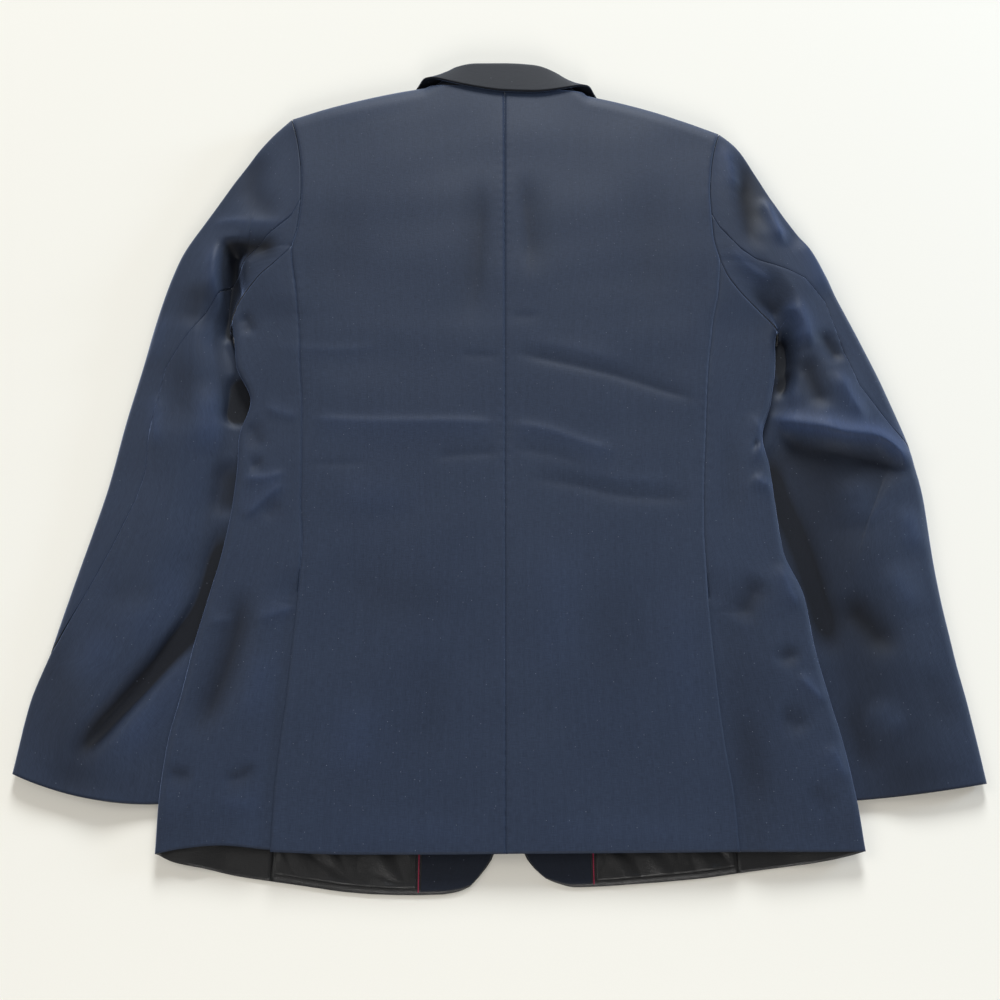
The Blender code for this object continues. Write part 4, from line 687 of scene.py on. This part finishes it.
def sleevePoints(side, share, turn):
    # a flattened tube: turn 0 at the inner fold, 1 at the outer fold, 2 at the inner fold again. Its plan goes
    # from the armhole's curve to a straight line across. Its upper layer has the low, middle and outer height
    # with the folds added, held above the least height by a soft limit, (d + sqrt(d ** 2 + soft ** 2)) / 2. Its
    # lower layer lies on the floor, and both are rounded into the folds by a quarter of an ellipse
    s = sleeve
    row = sleeveValues(side, share)
    turn = np.mod(turn, 2.0)
    over = turn <= 1
    across = np.where(over, turn, 2 - turn)
    outer = np.stack([row["outX"], row["outY"]], axis=-1) * cm
    inner = np.stack([row["inX"], row["inY"]], axis=-1) * cm
    plan = inner + (outer - inner) * across[..., None]
    plan[..., 1] += row["bow"] * cm * 4 * across * (1 - across)
    width = np.linalg.norm(outer - inner, axis=-1)
    hole, edge = sleeveRim(side, across)
    turned = 1 - np.clip(1 - share / s["blend"], 0, 1) ** 2
    plan = edge * (1 - turned)[..., None] + plan * turned[..., None]
    x, y = plan[..., 0], plan[..., 1]
    low, mid, out = row["inTop"] * cm, row["midTop"] * cm, row["outTop"] * cm
    spread = np.clip((across - row["step"]) / (1 - row["step"]), 0, 1)
    rise, fall = easeIn(spread / s["rise"]), easeIn((spread - 1 + s["fall"]) / s["fall"])
    top = low + (mid - low) * rise + (out - mid) * fall
    top = top + foldHeight(s["folds"][side], x, y) + seamHeight([s["elbowSeam"][side]], x, y, s["seams"])
    top = top + unevenness(x, y, **s["uneven"]) * easeIn(share / s["calmShare"])
    least, soft = s["leastZ"] * cm, s["softZ"] * cm
    top = least + 0.5 * (top - least + np.sqrt((top - least) ** 2 + soft ** 2)) - s["sinkZ"] * cm
    layer = np.where(over, top, cloth["wall"] / 2 + np.abs(unevenness(x, y, **s["lower"])))
    fold = (top + cloth["wall"] / 2) / 2
    height = fold + (layer - fold) * roundShare(np.minimum(across, 1 - across) * width, s["reach"] * cm)
    holeX, holeY = hole[..., 0], hole[..., 1]
    atHole = np.where(over, backHeight(holeX, holeY), frontHeight(holeX, holeY))
    height = atHole * (1 - turned) + height * turned
    return np.concatenate([plan, height[..., None]], axis=-1)


def spacedByBend(row, low, high, count):
    # a stretch of a row of points again, evenly in its length plus its turning, so that bends get more points
    step = np.diff(row, axis=0)
    length = np.linalg.norm(step, axis=1)
    unit = step / length[:, None]
    turning = np.arccos(np.clip((unit[1:] * unit[:-1]).sum(1), -1, 1)) * sleeve["bendLength"] * cm / 2
    weight = length + np.concatenate([[0], turning]) + np.concatenate([turning, [0]])
    run, weighed = np.concatenate([[0], np.cumsum(length)]), np.concatenate([[0], np.cumsum(weight)])
    at = np.interp(np.linspace(*np.interp([low, high], run, weighed), count), weighed, run)
    return np.stack([np.interp(at, run, row[:, k]) for k in range(3)], axis=1)


def elbowTurn(side, rows):
    # where the elbow seam crosses each section, or a little past the outer fold once it has turned under
    across = evenly(sleeve["acrossSamples"])
    share = np.repeat(rows[:, None], len(across), axis=1)
    x, y = np.moveaxis(sleevePoints(side, share, np.repeat(across[None], len(rows), axis=0))[..., :2], -1, 0)
    line = np.array(sleeve["elbowSeam"][side][::-1]) * cm
    outside = (x - np.interp(y, line[:, 1], line[:, 0])) * signOf(side)
    width = np.hypot(x[:, -1] - x[:, 0], y[:, -1] - y[:, 0])
    reached = np.array([np.interp(0, np.maximum.accumulate(row), across) for row in outside])
    under = 1 + np.minimum(-outside[:, -1] / width, sleeve["elbowUnder"])
    return np.where(outside[:, -1] > 0, reached, under)


def sleeveGrids(side):
    # each section runs once round from the forearm seam, and is cut apart at the elbow seam
    s = sleeve
    rows = evenly(s["rows"])
    ends = s["forearmSeam"] - s["forearmShift"] * np.clip(1 - rows / s["blend"], 0, None)
    turn = ends[:, None] + np.linspace(-2, 0, s["roundSamples"])
    points = sleevePoints(side, np.repeat(rows[:, None], turn.shape[1], axis=1), turn)
    elbow = elbowTurn(side, rows)
    under, top = [], []
    for row, rowTurn, cutTurn in zip(points, turn, elbow):
        run = np.concatenate([[0], np.cumsum(np.linalg.norm(np.diff(row, axis=0), axis=1))])
        cut = np.interp(cutTurn, rowTurn, run)
        apart = s["seamGap"] * cm + s["elbowOpening"] * cm * math.exp(-((cutTurn - 1) / s["elbowTurn"]) ** 2)
        half = s["seamGap"] * cm / 2
        under.append(spacedByBend(row, half, cut - apart / 2, s["underColumns"]))
        top.append(spacedByBend(row, cut + apart / 2, run[-1] - half, s["topColumns"]))
    return np.array(under), np.array(top)


collar = {
    "columns": ("neckX", "neckY", "neckZ", "foldX", "foldY", "foldZ", "leafX", "leafY", "leafZ"),
    "rows": (
        (-6.70, 69.2, 0.42, -5.90, 69.0, 0.25, -12.6, 68.6, 0.11),
        (-7.20, 71.6, 0.42, -5.60, 71.6, 0.25, -11.8, 71.8, 0.11),
        (-7.42, 73.4, 0.46, -5.70, 73.6, 0.30, -10.6, 74.2, 0.11),
        (-7.44, 74.7, 0.90, -5.90, 75.0, 0.70, -9.4, 75.75, 0.45),
        (-7.45, 75.45, 1.50, -5.90, 75.9, 1.40, -8.6, 76.15, 1.40),
        (-6.90, 75.42, 2.20, -5.40, 76.5, 2.40, -7.9, 76.2, 2.50),
        (-5.20, 75.15, 2.78, -4.60, 77.1, 2.90, -6.4, 75.7, 3.16),
        (-2.40, 75.0, 2.86, -2.40, 77.5, 3.02, -2.5, 74.6, 3.20),
        (0.45, 74.87, 2.86, 0.45, 77.5, 3.04, 0.5, 74.1, 3.20),
        (3.40, 74.72, 2.86, 3.40, 77.3, 3.02, 3.5, 74.0, 3.20),
        (6.30, 74.50, 2.78, 6.00, 76.2, 2.90, 7.6, 74.7, 3.16),
        (8.20, 74.55, 2.20, 6.80, 75.5, 2.40, 9.2, 75.25, 2.50),
        (8.78, 74.42, 1.50, 7.30, 74.9, 1.40, 9.9, 75.1, 1.40),
        (8.75, 73.5, 0.90, 7.20, 74.0, 0.70, 10.7, 74.7, 0.45),
        (8.72, 72.3, 0.46, 7.00, 72.5, 0.30, 12.0, 73.2, 0.11),
        (8.60, 70.6, 0.42, 6.90, 70.5, 0.25, 13.2, 70.8, 0.11),
        (8.15, 68.2, 0.42, 7.20, 68.0, 0.25, 14.0, 67.6, 0.11),
    ),
    # the last entry is painted shade: a level that darkens the whole collar
    "steps": 150, "standSteps": 8, "rollSteps": 12, "leafSteps": 16, "rollRadius": 0.14, "tone": -0.66,
}


def collarGrid():
    # up the stand, half round the roll, and down the leaf, at each place along the neck
    c = collar
    table = np.array(c["rows"]) * cm
    share = evenly(c["steps"])
    stations = lengthShares(table[:, 3:6] + table[:, 6:9])
    line = {name: curveAt(stations, table[:, k], share) for k, name in enumerate(c["columns"])}
    neck, fold, leaf = (
        np.stack([line[part + axis] for axis in "XYZ"], axis=1) for part in ("neck", "fold", "leaf"))
    way = np.gradient(fold, axis=0)
    way /= np.linalg.norm(way, axis=1, keepdims=True)
    tip = fold - (neck + leaf) / 2
    tip -= (tip * way).sum(1, keepdims=True) * way
    tip /= np.linalg.norm(tip, axis=1, keepdims=True)
    across = leaf - neck
    for direction in (way, tip):
        across = across - (across * direction).sum(1, keepdims=True) * direction
    across /= np.linalg.norm(across, axis=1, keepdims=True)
    angles = np.linspace(-math.pi / 2, math.pi / 2, c["rollSteps"])
    roll = [fold + c["rollRadius"] * cm * (math.sin(a) * across + math.cos(a) * tip) for a in angles]
    stand = [neck + (roll[0] - neck) * t for t in evenly(c["standSteps"])[:-1]]
    turned = [roll[-1] + (leaf - roll[-1]) * t for t in evenly(c["leafSteps"])[1:]]
    return np.stack([*stand, *roll, *turned], axis=1)


lapel = {
    "left": {"roll": ((0.25, 38.9), (-2.9, 53.2), (-6.3, 67.7)),
             "edge": ((-0.35, 38.8), (-4.6, 45.0), (-9.4, 53.6), (-12.6, 60.0), (-14.3, 64.2))},
    "right": {"roll": ((1.25, 38.9), (4.4, 53.2), (7.8, 66.7)),
              "edge": ((1.85, 38.8), (6.1, 45.0), (10.9, 53.0), (14.1, 59.2), (15.6, 63.2))},
    "rows": 70, "columns": 30,
}


def lapelGrid(side):
    # straight lines from the roll line to the free edge
    share = evenly(lapel["rows"])
    roll = alongLine(np.array(lapel[side]["roll"]) * cm, share)
    edge = alongLine(np.array(lapel[side]["edge"]) * cm, share)
    across = evenly(lapel["columns"])[None, :, None]
    plan = roll[:, None] * (1 - across) + edge[:, None] * across
    return raised(plan, lambda x, y: np.full(x.shape, cloth["wall"] / 2))


inside = {
    "pipingX": {"left": 6.55, "right": 7.55}, "top": 0.15,
    "hem": {"facing": 0.004, "lining": 0.008, "piping": 0.003},
    "edges": {"facing": 0.012, "lining": 0.985},
    "rows": 60, "columns": 90, "samples": 201, "pipingRadius": 0.055, "pipingGap": 0.198, "pipingSides": 12,
    "creases": {"depth": 0.2, "length": 2.5, "seed": 23}, "slant": 0.5, "squeeze": 0.45, "calm": 0.05,
    # the facing's level is painted shade, which darkens it like the wool in a hollow
    "facingTone": -0.5,
}


def onFront(side, across, up, lift):
    # points on the inside of a front, lifted off it, at shares of its length and, for each of them, a row of
    # shares of its width
    plan = frontPlan(side)
    u = lengthShares(onLine("frontHem", side, evenly(frontGrid["columns"])))
    v = lengthShares(plan[:, -1])
    rows = np.array([[np.interp(up, v, plan[:, c, k]) for k in range(2)] for c in range(len(u))])
    at = np.array([[np.interp(share, u, row[:, k]) for k in range(2)]
                   for share, row in zip(across, rows.transpose(2, 0, 1))])
    return raised(at.transpose(0, 2, 1), frontHeight, lift)


def pipingShares(side, up):
    # the share of the front's width at which each row reaches the piping's own distance from the middle
    share = evenly(inside["samples"])
    x = np.abs(onFront(side, np.repeat(share[None], len(up), axis=0), up, 0.0)[..., 0])
    return np.array([np.interp(inside["pipingX"][side] * cm, row, share) for row in x])


def insideGrids(side):
    # facing and lining side by side on the front, apart by a gap at each side of the piping, the lining with
    # soft creases that rise from it
    c = inside
    width = abs(lines["frontHem"][side][-1][0] - lines["frontHem"][side][0][0])
    beside = c["pipingGap"] / width
    lift = cloth["wall"] / 2 + cloth["seamGap"] + cloth["thinWall"] / 2
    share = evenly(c["columns"])
    grids = {}
    for name in ("facing", "lining"):
        up = np.linspace(c["hem"][name], c["top"], c["rows"])
        cut = pipingShares(side, up)[:, None]
        if name == "facing":
            low, high = c["edges"][name], cut - beside
        else:
            low, high = cut + beside, c["edges"][name]
        grids[name] = onFront(side, low + (high - low) * share[None], up, lift)
    x, y = grids["lining"][..., 0], grids["lining"][..., 1]
    calm = easeIn(share / c["calm"]) * easeIn((1 - share) / c["calm"])
    creases = unevenness(x + y * c["slant"], y * c["squeeze"], **c["creases"])
    grids["lining"][..., 2] += np.abs(creases) * calm
    return grids


def pipingTube(side, finish):
    # a circle carried along the line between facing and lining
    c = inside
    up = np.linspace(c["hem"]["piping"], c["top"], c["rows"])
    lift = cloth["wall"] / 2 + cloth["seamGap"] + c["pipingRadius"] * cm
    line = onFront(side, pipingShares(side, up)[:, None], up, lift)[:, 0]
    angles = np.arange(c["pipingSides"]) * 2 * math.pi / c["pipingSides"]
    ring = np.stack([np.cos(angles), np.zeros(len(angles)), np.sin(angles)], axis=1) * c["pipingRadius"] * cm
    points = (line[:, None] + ring[None]).reshape(-1, 3) + np.array([place["x"], place["y"], 0.0])
    n = c["pipingSides"]
    k = np.arange((len(line) - 1) * n).reshape(-1, n)
    following = np.roll(k, -1, axis=1)
    faces = np.stack([k, k + n, following + n, following], axis=-1).reshape(-1, 4).tolist()
    faces += [list(range(n)), list(range(len(points) - n, len(points)))[::-1]]
    mesh = bpy.data.meshes.new("piping" + side.title())
    mesh.from_pydata(points.tolist(), [], faces)
    mesh.shade_smooth()
    mesh.materials.append(finish)
    piece = bpy.data.objects.new("piping" + side.title(), mesh)
    scene.collection.objects.link(piece)
    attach(piece, "root")
    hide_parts("piping_" + side)


looks = {
    "wool": {
        "dark": (0.0208, 0.0308, 0.0570), "light": (0.0304, 0.0445, 0.0805),
        "rough": 0.58, "level": 0.22, "sheen": 0.38, "sheenRough": 0.35, "sheenTint": (0.45, 0.60, 1.0),
        # painted shade and highlight: how far the fold relief reaches, and its colours for hollows, flat cloth
        # and ridges
        "paintedShadeSpread": 0.65,
        "paintedShadeDark": (0.10, 0.09, 0.085), "flat": (0.5, 0.5, 0.5), "ridge": (0.72, 0.78, 0.90),
        "streaks": (420.0, 14.0, 1.0), "streakDark": (0.86, 0.87, 0.88), "streakEnds": (0.3, 0.7),
        "clouds": 7.0, "cloudDark": (0.90, 0.92, 0.95), "cloudEnds": (0.35, 0.65),
        "yarns": 1900.0, "weaveEnds": (0.36, 0.64), "slubs": 360.0, "slubShare": 0.5, "bump": 0.00012,
        "lint": (0.30, 0.33, 0.42), "lintSpots": 154.0, "lintEnds": (0.03, 0.055), "lintShare": 0.5,
    },
    "satin": {
        "base": (0.0105, 0.0110, 0.0125), "rough": 0.32, "level": 0.55, "yarns": 2600.0, "bump": 0.00016,
        "shades": (0.8, 1.25), "ends": (0.3, 0.7),
    },
    "edging": {
        "base": (0.26, 0.014, 0.050), "rough": 0.45, "level": 0.4, "ribs": (300.0, 1400.0, 300.0),
        "bump": 0.00024, "shades": (0.7, 1.2), "ends": (0.3, 0.7),
    },
    "horn": {
        "base": (0.010, 0.013, 0.026), "light": (0.030, 0.034, 0.055), "rough": 0.28, "level": 0.5,
        "swirls": 160.0, "swirl": 1.5, "ends": (0.4, 0.65),
    },
    "floor": {
        "base": (0.945, 0.92, 0.845), "rough": 0.75, "level": 0.1, "grain": 900.0, "shades": (0.985, 1.0),
        "ends": (0.3, 0.7),
    },
    "yarnStretch": 14,
}


class Nodes:
    # short names for adding and joining shader nodes
    def __init__(self, name):
        self.material = bpy.data.materials.new(name)
        self.material.use_nodes = True
        self.tree = self.material.node_tree
        self.shader = self.tree.nodes["Principled BSDF"]

    def add(self, kind, **sockets):
        node = self.tree.nodes.new(kind)
        for key, value in sockets.items():
            if key in node.inputs:
                node.inputs[key].default_value = value
            else:
                setattr(node, key, value)
        return node

    def join(self, start, end):
        self.tree.links.new(start, end)

    def feed(self, socket, value):
        if isinstance(value, bpy.types.NodeSocket):
            self.join(value, socket)
        else:
            socket.default_value = value

    def texture(self, kind, vector, scale, **sockets):
        node = self.add(kind, **sockets)
        node.inputs["Scale"].default_value = scale
        self.join(vector, node.inputs["Vector"])
        return node

    def noise(self, vector, scale, **sockets):
        return self.texture("ShaderNodeTexNoise", vector, scale, **sockets).outputs["Fac"]

    def stretched(self, vector, scale):
        node = self.add("ShaderNodeMapping")
        node.inputs["Scale"].default_value = scale
        self.join(vector, node.inputs["Vector"])
        return node.outputs["Vector"]

    def ramp(self, value, places, first=(0, 0, 0), last=(1, 1, 1)):
        node = self.add("ShaderNodeValToRGB")
        ends = node.color_ramp.elements
        ends[0].position, ends[1].position = places
        ends[0].color, ends[1].color = (*first, 1), (*last, 1)
        self.join(value, node.inputs["Fac"])
        return node.outputs["Color"]

    def shades(self, value, look):
        # a ramp between the base colour times the look's two shades
        first, last = (tuple(shade * v for v in look["base"]) for shade in look["shades"])
        return self.ramp(value, look["ends"], first, last)

    def blend(self, share, first, second, kind="MIX"):
        node = self.add("ShaderNodeMix", data_type="RGBA", blend_type=kind)
        for value, name in ((share, "Factor"), (first, "A"), (second, "B")):
            plain = isinstance(value, (float, bpy.types.NodeSocket))
            self.feed(node.inputs[name], value if plain else (*value, 1))
        return node.outputs["Result"]

    def sum(self, first, second, kind="ADD"):
        node = self.add("ShaderNodeMath", operation=kind)
        self.feed(node.inputs[0], first)
        self.feed(node.inputs[1], second)
        return node.outputs[0]

    def bump(self, height, distance):
        node = self.add("ShaderNodeBump", Distance=distance, Strength=1.0)
        self.join(height, node.inputs["Height"])
        self.join(node.outputs["Normal"], self.shader.inputs["Normal"])

    def finish(self, look):
        self.shader.inputs["Roughness"].default_value = look["rough"]
        self.shader.inputs["Specular IOR Level"].default_value = look["level"]
        return self.material


def weave(n, grain, yarns):
    # fine streaks along and across the cloth, each a noise stretched along its yarn
    slow = yarns / looks["yarnStretch"]
    along = n.noise(n.stretched(grain, (yarns, slow, 1)), 1.0, Detail=1.5, Roughness=0.6)
    cross = n.noise(n.stretched(grain, (slow, yarns, 1)), 1.0, Detail=1.5, Roughness=0.6)
    return along, cross


def makeWool(look):
    # the colour of the weave, times the streaks, soft clouds and twice a painted shade from the folds' relief,
    # darker in hollows and lighter, bluish on ridges, with lint on it
    n = Nodes("navyWool")
    white = (1.0, 1.0, 1.0)
    grain = n.add("ShaderNodeUVMap", uv_map="grain").outputs["UV"]
    where = n.add("ShaderNodeTexCoord").outputs["Object"]
    along, cross = weave(n, grain, look["yarns"])
    woven = n.sum(n.sum(along, cross), 0.5, "MULTIPLY")
    colour = n.blend(n.ramp(woven, look["weaveEnds"]), look["dark"], look["light"])
    streak = n.noise(n.stretched(grain, look["streaks"]), 1.0, Detail=3.0, Roughness=0.6)
    streak = n.ramp(streak, look["streakEnds"], look["streakDark"], white)
    colour = n.blend(1.0, colour, streak, "MULTIPLY")
    cloud = n.noise(where, look["clouds"], Detail=3.0, Roughness=0.5)
    colour = n.blend(1.0, colour, n.ramp(cloud, look["cloudEnds"], look["cloudDark"], white), "MULTIPLY")
    # painted shade and highlight: the fold relief darkens the colour in hollows and lightens it, bluish, on
    # ridges
    paintedShadeRelief = n.add("ShaderNodeAttribute", attribute_name="paintedShadeRelief").outputs["Fac"]
    spread = look["paintedShadeSpread"]
    scaled = n.sum(n.sum(paintedShadeRelief, spread, "ADD"), 0.5 / spread, "MULTIPLY")
    shade = n.ramp(scaled, (0.0, 1.0), look["paintedShadeDark"], look["ridge"])
    shade.node.color_ramp.elements.new(0.5).color = (*look["flat"], 1)
    colour = n.blend(1.0, colour, n.blend(1.0, shade, (2.0, 2.0, 2.0), "MULTIPLY"), "MULTIPLY")
    spots = n.texture("ShaderNodeTexVoronoi", where, look["lintSpots"]).outputs["Distance"]
    lint = n.sum(n.ramp(spots, look["lintEnds"], (1, 1, 1), (0, 0, 0)), look["lintShare"], "MULTIPLY")
    colour = n.blend(lint, colour, look["lint"])
    n.join(colour, n.shader.inputs["Base Color"])
    n.shader.inputs["Sheen Weight"].default_value = look["sheen"]
    n.shader.inputs["Sheen Roughness"].default_value = look["sheenRough"]
    n.shader.inputs["Sheen Tint"].default_value = (*look["sheenTint"], 1)
    slub = n.noise(grain, look["slubs"], Detail=4.0, Roughness=0.65)
    n.bump(n.sum(woven, n.sum(slub, look["slubShare"], "MULTIPLY")), look["bump"])
    return n.finish(look)


def makeSatin(look):
    # the lengthwise yarns' shades, with both yarns raised
    n = Nodes("blackSatin")
    grain = n.add("ShaderNodeUVMap", uv_map="grain").outputs["UV"]
    along, cross = weave(n, grain, look["yarns"])
    n.join(n.shades(along, look), n.shader.inputs["Base Color"])
    n.bump(n.sum(along, cross), look["bump"])
    return n.finish(look)


def makeEdging(look):
    # fine ribs across the cord
    n = Nodes("magentaEdging")
    where = n.add("ShaderNodeTexCoord").outputs["Object"]
    ribs = n.noise(n.stretched(where, look["ribs"]), 1.0, Detail=2.0)
    n.join(n.shades(ribs, look), n.shader.inputs["Base Color"])
    n.bump(ribs, look["bump"])
    return n.finish(look)


def makeHorn(look):
    # a swirled noise between a dark and a lighter tone
    n = Nodes("navyHorn")
    where = n.add("ShaderNodeTexCoord").outputs["Object"]
    swirls = n.noise(where, look["swirls"], Detail=4.0, Distortion=look["swirl"])
    n.join(n.ramp(swirls, look["ends"], look["base"], look["light"]), n.shader.inputs["Base Color"])
    return n.finish(look)


def makeFloor(look):
    # paper with a faint grain
    n = Nodes("palePaper")
    where = n.add("ShaderNodeTexCoord").outputs["Object"]
    grain = n.noise(where, look["grain"], Detail=2.0)
    n.join(n.shades(grain, look), n.shader.inputs["Base Color"])
    return n.finish(look)


wool, satin = makeWool(looks["wool"]), makeSatin(looks["satin"])
edging, horn = makeEdging(looks["edging"]), makeHorn(looks["horn"])
print("materials made")

lined = (wool, satin)
for side in sides:
    clothPiece("back_" + side, raised(backPlan(side), backHeight), lined, "up", folds=backLook["folds"])
    clothPiece("front_" + side, raised(frontPlan(side), frontHeight), lined, "down")
    clothPiece("side_body_" + side, sideBodyGrid(side), lined, "out", folds=backLook["folds"])
print("body made")

for side in sides:
    under, top = sleeveGrids(side)
    clothPiece("under_sleeve_" + side, under, lined, "out", folds=sleeve["folds"][side])
    clothPiece("top_sleeve_" + side, top, lined, "out", folds=sleeve["folds"][side])
print("sleeves made")

# painted shade: the collar's level takes all of it to the wool's darkest painted shade
clothPiece("collar", collarGrid(), (wool,), "up", level=collar["tone"])
for side in sides:
    clothPiece("lapel_" + side, lapelGrid(side), (wool,), "down")
    grids = insideGrids(side)
    # painted shade: the facing is the same wool, darkened all over by its level
    clothPiece("facing_" + side, grids["facing"], (wool,), "up", cloth["thinWall"], level=inside["facingTone"])
    clothPiece("lining_" + side, grids["lining"], (satin,), "up", cloth["thinWall"])
    pipingTube(side, edging)
print("collar, lapels and inside made")

for node in ("button_lower", "button_upper"):
    kept = bpy.data.objects[node]
    for k in range(len(kept.data.materials)):
        kept.data.materials[k] = horn

light = {
    "world": (1.0, 0.985, 0.955), "worldPower": 0.27, "floor": 24.0,
    "columns": ("at", "aim", "size", "power", "colour"),
    "lamps": {
        "key": ((0.5, 6.6, 3.2), (0.0, 0.0, 0.0), 2.4, 520.0, (0.93, 0.97, 1.0)),
        "left": ((-2.2, 0.5, 2.0), (0.0, 0.0, 0.0), 1.5, 15.0, (1.0, 0.98, 0.94)),
        "right": ((2.3, 0.7, 0.6), (0.1, 0.0, 0.0), 0.6, 22.0, (0.62, 0.78, 1.0)),
        "front": ((0.2, -2.2, 1.5), (0.0, 0.0, 0.0), 1.0, 21.0, (1.0, 0.98, 0.95)),
    },
}


def areaLight(name, look):
    # a disk of light at a place, turned to face what it is aimed at
    lamp = bpy.data.lights.new(name, "AREA")
    lamp.shape, lamp.size, lamp.energy, lamp.color = "DISK", look["size"], look["power"], look["colour"]
    obj = bpy.data.objects.new(name, lamp)
    obj.location = look["at"]
    aim = Vector(look["aim"]) - Vector(look["at"])
    obj.rotation_euler = aim.to_track_quat("-Z", "Y").to_euler()
    scene.collection.objects.link(obj)


for name, row in light["lamps"].items():
    areaLight(name + "Light", dict(zip(light["columns"], row)))
world = bpy.data.worlds.new("studio")
world.use_nodes = True
world.node_tree.nodes["Background"].inputs["Color"].default_value = (*light["world"], 1)
world.node_tree.nodes["Background"].inputs["Strength"].default_value = light["worldPower"]
scene.world = world

half = light["floor"] / 2
plane = bpy.data.meshes.new("floor")
plane.from_pydata(
    [(-half, -half, 0), (half, -half, 0), (half, half, 0), (-half, half, 0)], [], [(0, 1, 2, 3)])
plane.materials.append(makeFloor(looks["floor"]))
floor = bpy.data.objects.new("floor", plane)
scene.collection.objects.link(floor)

lens = bpy.data.cameras.new("camera")
lens.lens, lens.sensor_width = view["lens"], view["sensor"]
camera = bpy.data.objects.new("camera", lens)
camera.location = view["at"]
camera.rotation_euler = (math.radians(view["tilt"]), 0, 0)
scene.collection.objects.link(camera)
scene.camera = camera
scene.view_settings.view_transform = "Standard"

print("light, floor and camera made")
